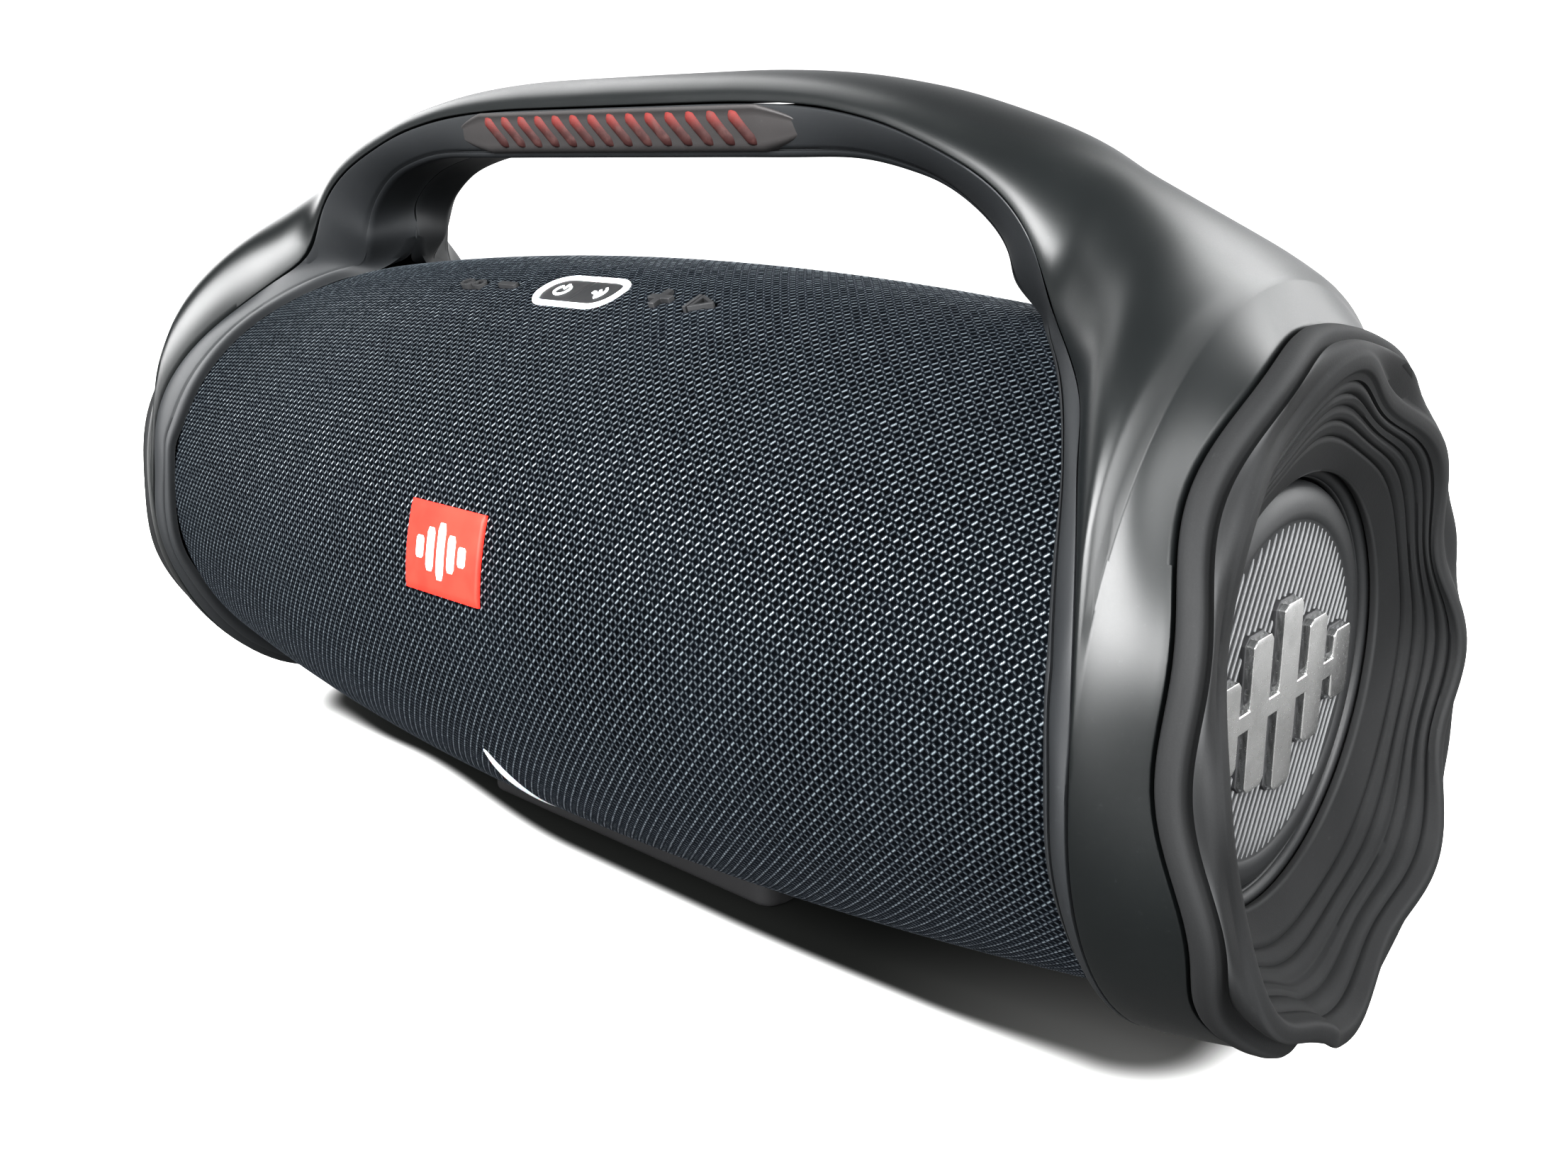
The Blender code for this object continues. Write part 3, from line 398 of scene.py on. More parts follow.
class Surface(Nodes):
    """A named material with one Principled shader; its plain values lie under any links."""

    def __init__(self, name, colour, rough, metallic=0.0):
        material = bpy.data.materials.new(name)
        material.use_nodes = True
        MATERIALS[name] = material
        super().__init__(material.node_tree)
        self.bsdf = self.tree.nodes["Principled BSDF"]
        self.set("Base Color", colour)
        self.set("Roughness", rough)
        self.set("Metallic", metallic)

    def set(self, socket, value):
        self.plug(self.bsdf.inputs[socket], value)

    def bump(self, height, tall):
        """Bump in which a height of 1 stands tall mm high."""
        inputs = {"Strength": 1.0, "Distance": tall * MM, "Height": height}
        self.set("Normal", self.node("Bump", inputs).outputs[0])


def scaled(colour, gain, lift=0.0):
    return tuple(min(1, channel * gain + lift) for channel in colour)


# Plastics and rubbers: colour, roughness, grain size and height in mm, range of roughness,
# wear on the edges, specular level and, if unusual, the pointiness where wear starts and fills
PLASTICS = {
    "satin_black_plastic": ((0.0046, 0.0056, 0.0058), 0.39, 0.30, 0.006, 0.07, 0.25, 0.52),
    "matte_grey_liner": ((0.013, 0.0142, 0.0155), 0.56, 0.32, 0.018, 0.10, 0.3, 0.45),
    "bumper_rubber_matte": ((0.0088, 0.0092, 0.0096), 0.74, 0.45, 0.03, 0.12, 0.55, 0.30,
                            (0.515, 0.58)),
    "grip_panel_rubber": ((0.024, 0.0225, 0.0225), 0.6, 0.32, 0.02, 0.1, 0.2, 0.4),
    "key_rubber_matte": ((0.016, 0.0165, 0.0175), 0.55, 0.3, 0.015, 0.1, 0.35, 0.5),
    "disc_rubber_smooth": ((0.017, 0.0178, 0.0186), 0.50, 0.4, 0.012, 0.10, 0.15, 0.5),
    # the disc's raised lines are its rubber made paler: painted highlight
    "disc_lines_painted_highlight": ((0.072, 0.074, 0.076), 0.44, 0.3, 0.008, 0.1, 0.4, 0.5),
    "foot_rubber": ((0.010, 0.010, 0.0105), 0.76, 0.5, 0.03, 0.1, 0.2, 0.2),
    "moulded_black_plastic": ((0.02, 0.02, 0.021), 0.5, 0.5, 0.01, 0.12, 0.0, 0.5),
    "pressed_paper_cone": ((0.035, 0.034, 0.033), 0.8, 0.8, 0.06, 0.1, 0.0, 0.5),
    "ferrite_grey": ((0.04, 0.04, 0.043), 0.55, 0.6, 0.03, 0.1, 0.0, 0.5),
    "battery_wrap_blue": ((0.02, 0.06, 0.22), 0.32, 2.0, 0.02, 0.12, 0.0, 0.5),
    "cable_jacket_black": ((0.015, 0.015, 0.015), 0.45, 0.5, 0.01, 0.1, 0.0, 0.5),
}


def plastic(name, colour, rough, grain_size, grain_height, rough_range, wear, specular,
            worn=(0.52, 0.6)):
    """Moulded plastic or rubber: fine grain, uneven sheen, faint marks, rubbed edges."""
    mat = Surface(name, colour, rough)
    mat.set("Specular IOR Level", specular)
    broad = mat.noise(size=38, detail=3)
    fine = mat.noise(size=grain_size, detail=2)
    speck = mat.noise(size=1.6, detail=4, rough=0.7)
    base = mat.mix(mat.step(broad, lo=0.3, hi=0.7), colour, scaled(colour, gain=1.15))
    marks = mat.mul(mat.step(speck, lo=0.62, hi=0.74), 0.35)
    base = mat.mix(marks, base, scaled(colour, gain=1.7, lift=0.01))
    if wear:
        pointiness = mat.node("NewGeometry").outputs["Pointiness"]
        rubbed = mat.mul(mat.step(pointiness, *worn), wear)
        base = mat.mix(rubbed, base, scaled(colour, gain=2.6, lift=0.03))
    mat.set("Base Color", base)
    sheen = mat.mul(mat.noise(size=22, detail=5, rough=0.6), rough_range)
    sheen = mat.add(rough - rough_range / 2, sheen)
    mat.set("Roughness", mat.add(sheen, mat.mul(mat.sub(fine, 0.5), 0.10)))
    mat.bump(fine, tall=grain_height)


def fabric_material():
    """Diamond net of twisted threads: one family lies under, the other over it."""
    mat = Surface("woven_mesh_navy_black", (0.02, 0.024, 0.03), 0.75)
    # the map counts cells along the barrel and round it
    cells = mat.node("UVMap", uv_map="UVMap").outputs[0]
    along, around, _ = mat.split(cells)
    wander = mat.noise(scale=0.55, detail=2, rough=0.5, vector=cells)
    wander = mat.mul(mat.sub(wander, 0.5), 0.16)
    under = mat.add(mat.add(along, around), wander)
    over = mat.add(mat.sub(along, around), mat.mul(wander, -0.8))

    def off_thread(family):
        """0 on a thread's line and 1 half way to the next."""
        saw = mat.mul_add(mat.math("FRACT", family), 2.0, -1.0)
        return mat.sub(1.0, mat.math("ABSOLUTE", saw))

    def crest(off, width):
        """1 on the line, 0 at the thread's edge."""
        return mat.sub(1.0, mat.math("DIVIDE", off, width), clamp=True)

    def domed(ridge):
        return mat.math("SQRT", mat.mul(ridge, mat.sub(2.0, ridge)))

    def twisted(height, turns):
        yarn = mat.math("SINE", mat.mul(turns, 6.2832))
        return mat.mul_add(mat.mul(yarn, height), 0.07, height)

    off_under, off_over = off_thread(under), off_thread(over)
    under_crest, over_crest = crest(off_under, width=0.52), crest(off_over, width=0.56)
    # each thread dives where the other family crosses it
    under_dive = mat.step(off_over, lo=0.05, hi=0.6, out_lo=0.35, out_hi=0.86)
    over_dive = mat.step(off_under, lo=0.0, hi=0.35, out_lo=0.62, out_hi=1.0)
    under_height = mat.mul(domed(under_crest), under_dive)
    over_height = mat.mul(domed(over_crest), over_dive)
    under_turns = mat.sub(mat.mul(over, 4.0), mat.mul(under, 3.0))
    over_turns = mat.add(mat.mul(under, 4.0), mat.mul(over, 3.0))
    height = mat.math("MAXIMUM", twisted(under_height, under_turns),
                      twisted(over_height, over_turns))
    # one random value per cell
    cell = mat.node("CombineXYZ", {0: mat.math("FLOOR", under),
                                   1: mat.math("FLOOR", mat.add(over, 0.5))})
    random = mat.node("TexWhiteNoise", {"Vector": cell.outputs[0]}, noise_dimensions="2D")
    random = random.outputs["Value"]
    # glints in strokes along the crests, fainter on the under threads: painted highlights in
    # the base colour, which also raise gloss and specular below
    over_glint = mat.mul(mat.math("POWER", over_crest, 3.2),
                         mat.step(off_under, lo=0.18, hi=0.55))
    over_glint = mat.mul(over_glint, mat.mul_add(random, 1.1, 0.40))
    under_glint = mat.mul(mat.math("POWER", under_crest, 3.0),
                          mat.step(off_over, lo=0.35, hi=0.75))
    under_glint = mat.mul(under_glint, mat.mul_add(random, -0.5, 0.75))
    glint = mat.math("MAXIMUM", over_glint, mat.mul(under_glint, 0.75))
    # the ground darkens down into the hollows between threads: painted shade
    dark = mat.mix(mat.step(height, lo=0.30, hi=0.98),
                   (0.0003, 0.0006, 0.0011), (0.0034, 0.0054, 0.0076))
    patch = mat.mul(mat.step(mat.noise(size=60, detail=3), lo=0.35, hi=0.7), 0.25)
    dark = mat.mix(patch, dark, (0.005, 0.0072, 0.0098))
    # glints painted into the thread colour as painted highlights
    bright = mat.mul(glint, 0.72, clamp=True)
    mat.set("Base Color", mat.mix(bright, dark, (0.145, 0.170, 0.185)))
    # glints are glossier and more reflective than the ground
    gloss = mat.mul(mat.math("MINIMUM", glint, 1.0), 0.46)
    mat.set("Roughness", mat.sub(0.74, gloss))
    mat.set("Specular IOR Level", mat.mul_add(mat.math("MINIMUM", glint, 1.0), 1.3, 0.03))
    mat.set("Sheen Weight", 0.028)
    mat.set("Sheen Roughness", 0.45)
    mat.set("Sheen Tint", (0.75, 0.82, 1.0))
    mat.bump(height, tall=0.6)


def red_rib_material():
    """Red-brown rubber ribs, brighter towards their upper ends."""
    mat = Surface("grip_rib_rubber", (0.09, 0.03, 0.028), 0.66)
    height = mat.split(mat.coord())[2]
    upper = mat.step(height, lo=(AXIS_Z + 137.0) * MM, hi=(AXIS_Z + 144.0) * MM)
    colour = mat.mix(upper, (0.026, 0.010, 0.0095), (0.11, 0.020, 0.018))
    patch = mat.mul(mat.step(mat.noise(size=3, detail=3), lo=0.45, hi=0.7), 0.5)
    mat.set("Base Color", mat.mix(patch, colour, (0.055, 0.028, 0.026)))
    mat.set("Specular IOR Level", 0.2)
    mat.bump(mat.noise(size=0.35, detail=2), tall=0.02)


def badge_material():
    mat = Surface("badge_red", (0.84, 0.034, 0.024), 0.5)
    patch = mat.step(mat.noise(size=14, detail=3), lo=0.35, hi=0.7)
    mat.set("Base Color", mat.mix(patch, (0.88, 0.040, 0.028), (0.76, 0.030, 0.021)))
    mat.set("Specular IOR Level", 0.22)
    mat.bump(mat.noise(size=0.5, detail=2), tall=0.006)


def white_material(name, colour, rough, subsurface=0.0):
    mat = Surface(name, colour, rough)
    patch = mat.step(mat.noise(size=5, detail=3), lo=0.35, hi=0.75)
    mat.set("Base Color", mat.mix(patch, colour, scaled(colour, gain=0.9)))
    if subsurface:
        mat.set("Subsurface Weight", subsurface)
        mat.set("Subsurface Scale", 0.002)
    mat.bump(mat.noise(size=0.6, detail=2), tall=0.006)


def metal(name, colour, rough, brush, stretch=(1, 1, 1)):
    """Metal with brush marks brush mm deep; stretch is their noise's scale per axis."""
    mat = Surface(name, colour, rough, metallic=1.0)
    marks = mat.noise(size=0.9, detail=3, rough=0.6, stretch=stretch)
    mat.set("Roughness", mat.mul_add(marks, 0.14, rough - 0.07))
    patch = mat.step(mat.noise(size=9, detail=3), lo=0.35, hi=0.7)
    mat.set("Base Color", mat.mix(patch, colour, scaled(colour, gain=0.86)))
    mat.bump(marks, tall=brush)


def board_material():
    """Green board in small bricks, with paler lines between them."""
    mat = Surface("circuit_board", (0.012, 0.085, 0.03), 0.4)
    upright = mat.node("Mapping", {0: mat.coord(), "Rotation": (math.radians(90), 0, 0)})
    brick = mat.node("TexBrick", {
        "Vector": upright.outputs[0], "Scale": 120.0, "Mortar Size": 0.03,
        "Color1": (0.010, 0.075, 0.028), "Color2": (0.014, 0.095, 0.034),
        "Mortar": (0.05, 0.16, 0.06)})
    mat.set("Base Color", brick.outputs[0])
    mat.bump(brick.outputs[1], tall=0.05)


def make_materials():
    for name, values in PLASTICS.items():
        plastic(name, *values)
    fabric_material()
    red_rib_material()
    badge_material()
    white_material("light_guide_white", (0.80, 0.82, 0.82), rough=0.38, subsurface=0.15)
    white_material("printed_mark_pale", (0.72, 0.75, 0.76), rough=0.45)
    white_material("indicator_milky", (0.72, 0.76, 0.77), rough=0.3, subsurface=0.3)
    metal("polished_emblem_metal", (0.80, 0.805, 0.80), rough=0.25, brush=0.002)
    metal("plated_steel", (0.52, 0.52, 0.53), rough=0.32, brush=0.006, stretch=(1, 6, 1))
    metal("extruded_aluminium", (0.74, 0.75, 0.77), rough=0.34, brush=0.008,
          stretch=(1, 1, 0.1))
    board_material()


# ================================================================ fabric sleeve
CELL_X, ROWS = 3.2, 330                 # staggered net: cell along the barrel, rows round it
SLEEVE_END = 204.8
ROUND = 2 * math.pi * BARREL_R          # arc length once round
# Keys on the top: x from the row's middle, and outline
SMALL_KEYS = {
    "link": (-55.5, rounded(12.0, 5.2, 2.4, 4)),
    "volume_down": (-36.5, rounded(9.0, 2.4, 1.0, 3)),
    "volume_up": (36.5, [(-4.6, -1.25), (-1.25, -1.25), (-1.25, -4.6), (1.25, -4.6),
                         (1.25, -1.25), (4.6, -1.25), (4.6, 1.25), (1.25, 1.25),
                         (1.25, 4.6), (-1.25, 4.6), (-1.25, 1.25), (-4.6, 1.25)]),
    "play": (54.0, [(-4.0, -4.6), (4.6, -0.6), (4.6, 0.6), (-4.0, 4.6), (-4.9, 4.0),
                    (-4.9, -4.0)]),
}
# charge light: middle in x and degrees, half its height in degrees, and its slant in x
LIGHT_X, LIGHT_DEG, LIGHT_SPAN, LIGHT_SLANT = -7.0, -43.0, 13.0, 2.2


def pill(inset=0.0):
    """Outline of the light ring, or one inset from it."""
    return rounded(37.4 - 2 * inset, 18.8 - 2 * inset, 8.6 - inset, 8)


def inside(polygon, x, y):
    """Point-in-polygon over arrays."""
    found = np.zeros(x.shape, bool)
    for i in range(len(polygon)):
        (xi, yi), (xj, yj) = polygon[i], polygon[i - 1]
        crossing = (xj - xi) * (y - yi) / (yj - yi + 1e-12) + xi
        found ^= ((yi > y) != (yj > y)) & (x < crossing)
    return found


def snap(polygon, x, y, reach):
    """Moves points that lie within reach of the polygon's edge onto it."""
    best = np.full(x.shape, 1e9)
    best_x, best_y = x.copy(), y.copy()
    polygon = np.asarray(polygon, float)
    for i in range(len(polygon)):
        start = polygon[i - 1]
        run = polygon[i] - start
        part = ((x - start[0]) * run[0] + (y - start[1]) * run[1]) / max(run @ run, 1e-12)
        part = np.clip(part, 0, 1)
        edge_x, edge_y = start[0] + part * run[0], start[1] + part * run[1]
        distance = np.hypot(x - edge_x, y - edge_y)
        near = distance < best
        best = np.where(near, distance, best)
        best_x, best_y = np.where(near, edge_x, best_x), np.where(near, edge_y, best_y)
    hit = best < reach
    return np.where(hit, best_x, x), np.where(hit, best_y, y), hit


def sleeve_holes():
    """Openings in the sleeve, as x against arc length up from the front."""
    row = math.radians(BUTTON_DEG) * BARREL_R
    holes = [[(ROW_X + key_x + x, row + y) for x, y in grow(outline, 0.35)]
             for key_x, outline in SMALL_KEYS.values()]
    holes.append([(ROW_X + x, row + y) for x, y in pill()])
    half_x = DOOR_X + 0.2
    half_arc = BARREL_R * math.asin((DOOR_Z + 0.2) / BARREL_R)
    low, high = ROUND / 2 - half_arc, ROUND / 2 + half_arc
    holes.append(refine([(-half_x, low), (half_x, low), (half_x, high), (-half_x, high)], 8))
    lens = []
    for side in (1, -1):
        for k in range(13):
            part = (-1 + 2 * k / 12) * side
            bow = side * (0.4 + 3.2 * (1 - part * part))
            lens.append((LIGHT_X + LIGHT_SLANT * part + bow,
                         ROUND + math.radians(LIGHT_DEG + LIGHT_SPAN * part) * BARREL_R))
    holes.append(lens)
    return holes


def fabric_sleeve():
    columns = int(round(2 * SLEEVE_END / (CELL_X / 2)))
    grid_x, arc = np.meshgrid(np.linspace(-SLEEVE_END, SLEEVE_END, columns + 1),
                              np.arange(ROWS) * (ROUND / ROWS), indexing="ij")
    column, row = np.meshgrid(np.arange(columns + 1), np.arange(ROWS), indexing="ij")
    relief = np.where((column + row) % 2 == 0, 0.16, -0.20)
    holes = sleeve_holes()
    for hole in holes:
        low, high = np.min(hole, axis=0) - 3, np.max(hole, axis=0) + 3
        near = ((grid_x > low[0]) & (grid_x < high[0]) & (arc > low[1]) & (arc < high[1]))
        grid_x[near], arc[near], hit = snap(hole, grid_x[near], arc[near], 0.85)
        relief[near] = np.where(hit, -0.05, relief[near])

    def cell_centres(grid, following):
        return (grid[:-1] + grid[1:] + following[:-1] + following[1:]) / 4

    next_arc = np.roll(arc, -1, axis=1)
    next_arc[:, -1] += ROUND
    centre_x = cell_centres(grid_x, np.roll(grid_x, -1, axis=1))
    centre_arc = cell_centres(arc, next_arc)
    keep = np.ones(centre_x.shape, bool)
    for hole in holes:
        keep &= ~inside(hole, centre_x, centre_arc)

    # the relief fades out at the sleeve's ends
    fade = np.clip((SLEEVE_END - 1.5 - np.abs(grid_x)) / 2.5, 0, 1)
    radius = barrel_radius(grid_x) + relief * fade
    angle = arc / BARREL_R
    verts = np.stack([grid_x, -radius * np.cos(angle), radius * np.sin(angle)], -1)

    # split every quad along its crossing-to-crossing diagonal
    i, j = column[:-1][keep], row[:-1][keep]
    corners = [(i, j), (i + 1, j), (i + 1, j + 1), (i, j + 1)]
    corners = [a * ROWS + b % ROWS for a, b in corners]
    even = ((i + j) % 2 == 0)[:, None]

    def triangles(even_corners, odd_corners):
        return np.where(even, np.stack([corners[n] for n in even_corners], -1),
                        np.stack([corners[n] for n in odd_corners], -1))

    tris = np.concatenate([triangles((0, 1, 2), (0, 1, 3)), triangles((0, 2, 3), (1, 2, 3))])
    # rows kept per corner, so that the map carries on past the seam
    tri_rows = np.concatenate([np.stack([j, j, j + 1], -1), np.stack([j, j + 1, j + 1], -1)])
    mesh = bpy.data.meshes.new("fabric_skin")
    mesh.from_pydata(world(verts.reshape(-1, 3)).tolist(), [], tris.tolist())
    layer = mesh.uv_layers.new(name="UVMap")
    cells = np.stack([column.reshape(-1)[tris.reshape(-1)] / 2.0,
                      tri_rows.reshape(-1) / 2.0], -1)
    layer.data.foreach_set("uv", cells.astype(np.float32).ravel())
    bm = bmesh.new()
    bm.from_mesh(mesh)
    loose = [v for v in bm.verts if not v.link_faces]
    bmesh.ops.delete(bm, geom=loose, context="VERTS")
    bm.normal_update()
    bm.to_mesh(mesh)
    bm.free()
    mesh.materials.append(MATERIALS["woven_mesh_navy_black"])
    mesh.shade_smooth()
    ob = link_object("fabric_skin", mesh)
    solid = ob.modifiers.new("thickness", "SOLIDIFY")
    solid.thickness = 0.9 * MM
    solid.offset = -1.0
    solid.use_rim = True
    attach(ob, "body")
    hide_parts("fabric_sleeve")


# ================================================================ satin shell
def section(x, steps, inset=0.0, lower_steps=0):
    """Half outline of the shell at x, from the top centre down its front."""
    crest = smooth_table(CREST_X, CREST_Z, x, 9.0) - inset
    if x <= RING_ROOT_X:
        window = 5.0 * max(0.0, min(1.0, (RING_ROOT_X - x) / 8.0))
        edge_z = smooth_table(EDGE_X, EDGE_Z, x, window)
        edge_y = smooth_table(EDGE_X, EDGE_Y, x, window) - inset
    else:
        edge_z, edge_y = 0.0, ring_radius(x) - inset
    # a squarer curve than an ellipse towards the middle of the handle
    power = 2 / (2.0 + 0.35 * max(0.0, 1 - x / 150.0))
    points = []
    for i in range(steps + 1):
        angle = math.radians(90 * i / steps)
        points.append((-edge_y * math.sin(angle) ** power,
                       edge_z + (crest - edge_z) * math.cos(angle) ** power))
    for i in range(1, lower_steps + 1):
        angle = math.radians(90 * i / lower_steps)
        z = -(RING_LOW - 3.0 * ring_share(x) - inset) * math.sin(angle)
        points.append((-edge_y * math.cos(angle), max(z, -(RING_FLAT - inset))))
    return points


def closed_section(x, steps, inset):
    """Whole outline of an end ring at x, from the top down the front and up the rear."""
    half = section(x, steps, inset, steps)
    return half + [(-y, z) for y, z in half[-2:0:-1]]


def shell():
    """Handle arch and both end rings in one skin with an outer and an inner face."""
    steps = 30
    verts, faces = [], []

    def add(*point):
        verts.append(point)
        return len(verts) - 1

    stations = [*np.linspace(0, 130, 27), *np.linspace(133, 178, 19),
                *np.linspace(180, 209, 18), RING_ROOT_X]
    xs = [-x for x in stations[::-1]] + stations[1:]
    insets = (0.0, SHELL_T)
    arches = []
    for inset in insets:
        rows = []
        for x in xs:
            half = section(abs(x), steps, inset)
            front = [add(x, y, z) for y, z in half[::-1]]
            rows.append(front + [add(x, -y, z) for y, z in half[1:]])
        arches.append(rows)

    def ring(side, inset, arch_row):
        """Loops of an end ring; the first shares its upper half with the arch's last row."""
        loops = []
        for part in (0.0, 0.06, 0.14, 0.24, 0.36, 0.5, 0.64, 0.78, 0.9, 1.0):
            x = RING_ROOT_X + (RING_RIM_X - RING_ROOT_X) * part
            outline = closed_section(x, steps, inset)
            loop = []
            for m, (y, z) in enumerate(outline):
                below_top = min(m, len(outline) - m)
                if part == 0 and below_top <= steps:
                    to_rear = -1 if m <= steps else 1
                    loop.append(arch_row[steps + to_rear * below_top])
                    continue
                shift = WAVE_X * wave(degrees_at(y, z)) + end_shift(y, z)
                loop.append(add(side * (x + part * shift), y, z))
            loops.append(loop)
        return loops

    rings = []
    for side in (1, -1):
        last = -1 if side > 0 else 0
        rings.append([ring(side, inset, rows[last]) for inset, rows in zip(insets, arches)])
    for rows in arches:
        for i in range(len(rows) - 1):
            band(faces, rows[i], rows[i + 1], range(2 * steps))
    outer, inner = arches
    for i in range(len(xs) - 1):
        for j in (0, 2 * steps):
            faces.append((outer[i][j], outer[i + 1][j], inner[i + 1][j], inner[i][j]))
    for outer, inner in rings:
        for loops in (outer, inner):
            for k in range(len(loops) - 1):
                band(faces, loops[k], loops[k + 1])
        band(faces, outer[-1], inner[-1])
        band(faces, outer[0], inner[0], range(steps, len(outer[0]) - steps))
    build("handle_and_rings", verts, faces, "satin_black_plastic", replaces="handle_shell",
          slot="satin_plastic", bevel=0.55, segs=2, angle=50)


# ================================================================ liner, shell to fabric
# x on the shell's edge, on the corner and on the inner rim, and the inner rim's height
NECK_STATIONS = ((150.5, 144.5, 140.5, 106.5), (160.0, 147.3, 141.5, 98.9))
# degrees of the corner and of the inner rim, and x on the shell's edge
SHOULDER_STATIONS = (
    (80.0, 83.0, 166.0), (75.5, 76.5, 172.0), (69.0, 69.0, 179.0), (61.5, 61.5, 186.5),
    (52.0, 52.0, 194.0), (43.0, 43.0, 199.6), (33.0, 33.0, 203.8), (22.0, 22.0, 207.0),
    (11.0, 11.0, 209.2))
LINER_SPANS = 8                         # sections to each span between stations


def liner_stations():
    """Points on the shell's edge, the corner and the inner rim, from the handle's middle."""
    def on_edge(x):
        return x, -float(spline(EDGE_X, EDGE_Y, x)), float(spline(EDGE_X, EDGE_Z, x))

    def on_corner(x):
        return x, -float(spline(CORNER_X, CORNER_Y, x)), float(spline(CORNER_X, CORNER_Z, x))

    def on_rim(deg, lift):
        return over_barrel(float(spline(RIM_BELOW, RIM_X, -deg)), lift, deg)

    stations = []
    for x in (0, 26, 52, 76, 98, 114, 128, 138.5):
        corner = on_corner(x)
        stations.append((on_edge(x), corner, (x, -GAP / 2, corner[2] + 0.8)))
    for edge_x, corner_x, inner_x, inner_z in NECK_STATIONS:
        stations.append((on_edge(edge_x), on_corner(corner_x), (inner_x, -GAP / 2, inner_z)))
    for corner_deg, inner_deg, edge_x in SHOULDER_STATIONS:
        stations.append((on_edge(edge_x), on_rim(corner_deg, LINER_LIFT),
                         on_rim(inner_deg, LAND * 0.35)))
    for deg in (0, -20, -42, -66, -90):
        angle = math.radians(-deg)
        edge = (RING_ROOT_X - GAP, -RING_ROOT_R * math.cos(angle),
                max(-RING_LOW * math.sin(angle), -RING_FLAT))
        station = (edge, on_rim(deg, LINER_LIFT), on_rim(deg, LAND * 0.35))
        if deg == -90:
            station = tuple((x, -GAP / 2, z) for x, y, z in station)
        stations.append(station)
    return stations


def resample(points, spans):
    """Natural cubic through the points, timed by the chords between their first columns."""
    points = np.asarray(points, float)
    count = len(points)
    chords = np.maximum(np.linalg.norm(np.diff(points[:, 0], axis=0), axis=-1), 1e-6)
    step = np.diff(np.concatenate([[0], np.cumsum(chords)]))
    system = np.zeros((count, count))
    system[0, 0] = system[-1, -1] = 1
    for i in range(1, count - 1):
        system[i, i - 1:i + 2] = step[i - 1], 2 * (step[i - 1] + step[i]), step[i]
    flat = points.reshape(count, -1)
    target = np.zeros_like(flat)
    target[1:-1] = 3 * ((flat[2:] - flat[1:-1]) / step[1:, None]
                        - (flat[1:-1] - flat[:-2]) / step[:-1, None])
    square = np.linalg.solve(system, target)
    dense = []
    for i in range(count - 1):
        linear = ((flat[i + 1] - flat[i]) / step[i]
                  - step[i] * (2 * square[i] + square[i + 1]) / 3)
        cubic = (square[i + 1] - square[i]) / (3 * step[i])
        for j in range(spans):
            at = step[i] * j / spans
            dense.append(flat[i] + linear * at + square[i] * at * at + cubic * at ** 3)
    dense.append(flat[-1])
    return np.array(dense).reshape(-1, *points.shape[1:])


def liner_section(edge, corner, inner, wrap, closing):
    """Closed section; wrap runs from 0 under the handle to 1 round the barrel."""
    in_handle = unit(np.array([0.0, -edge[1], -(edge[2] - 60.0)]))
    in_barrel = unit(np.array([0.0, -edge[1], -edge[2]]))
    inward = unit(in_handle * (1 - wrap) + in_barrel * wrap)
    outward = unit(np.array([0.0, -1.0, 0.0]) * (1 - wrap) - inward * wrap)
    across = unit(corner - edge)
    start = edge + 0.45 * across + 0.1 * inward
    run = corner - start
    width = float(np.linalg.norm(run))
    # outer band, bulging, up to the parting groove
    groove = 1 - min(0.42, 2.6 / width)
    points = []
    for part in (0.0, 0.03, 0.07, 0.14, 0.24, 0.36, 0.48, 0.6, 0.7, 0.8, 0.9, 0.97):
        bulge = 0.9 * math.sin(math.pi * part) ** 0.7 - (0.35 if part == 0 else 0.0)
        points.append(start + run * (part * groove) + outward * bulge)
    for offset, rise in ((0.12, -0.75), (0.55, -0.75), (0.75, 0.12)):
        points.append(start + run * (groove + offset / width) + outward * rise)
    # rounded corner and the inner lip
    radius = min(1.6, width * 0.3)
    bend_in = corner - across * radius + outward * 0.12
    bend = corner + outward * 0.05
    reach = min(radius, 0.45 * np.linalg.norm(inner - corner))
    bend_out = corner + unit(inner - corner) * reach
    for part in (0.0, 0.25, 0.5, 0.75, 1.0):
        points.append((1 - part) ** 2 * bend_in + 2 * part * (1 - part) * bend
                      + part * part * bend_out)
    for part in (0.35, 0.7, 1.0):
        points.append(bend_out + (inner - bend_out) * part)
    # hidden side
    thick = 3.0
    if wrap <= 0:
        core = np.array([edge[0], -GAP / 2, inner[2] + thick])
        back = np.array([start[0], start[1] + thick, start[2]])
    else:
        seat_x = inner[0] + max(2.0, (edge[0] - corner[0]) * 0.45)
        seat = unit(np.array([0, inner[1], inner[2]]))
        seat = seat * (float(barrel_radius(min(seat_x, 206.0))) + LAND)
        seat[0] = seat_x
        core = np.array([inner[0] + thick, -GAP / 2, inner[2] + 1.5])
        core = core * (1 - wrap) + seat * wrap
        back = ((start + np.array([0, thick, -0.5])) * (1 - wrap)
                + (start + inward * thick) * wrap)
    if closing:
        for point in (*points, core, back):
            point[1] = -GAP / 2
    return points + [core, (core + back) / 2, back]


def liner(name, side, node):
    """Liner of one half: side is -1 for the front and 1 for the rear."""
    stations = np.array(liner_stations(), float)
    # three mirrored stations lead in, so that the curve runs evenly through the middle
    lead_in = stations[3:0:-1] * (-1, 1, 1)
    dense = resample(np.concatenate([lead_in, stations]), LINER_SPANS)[LINER_SPANS * 3:]
    loops = []
    for k, (edge, corner, inner) in enumerate(dense):
        wrap = min(1.0, max(0.0, (k / LINER_SPANS - 7.0) / 3.0))
        loops.append(liner_section(edge, corner, inner, wrap, k == len(dense) - 1))
    loops = np.array(loops)
    loops = np.concatenate([loops[:0:-1] * (-1, 1, 1), loops]) * (1, -side, 1)
    loft(name, loops, "matte_grey_liner", replaces=node, slot="trim_rubber", angle=48)


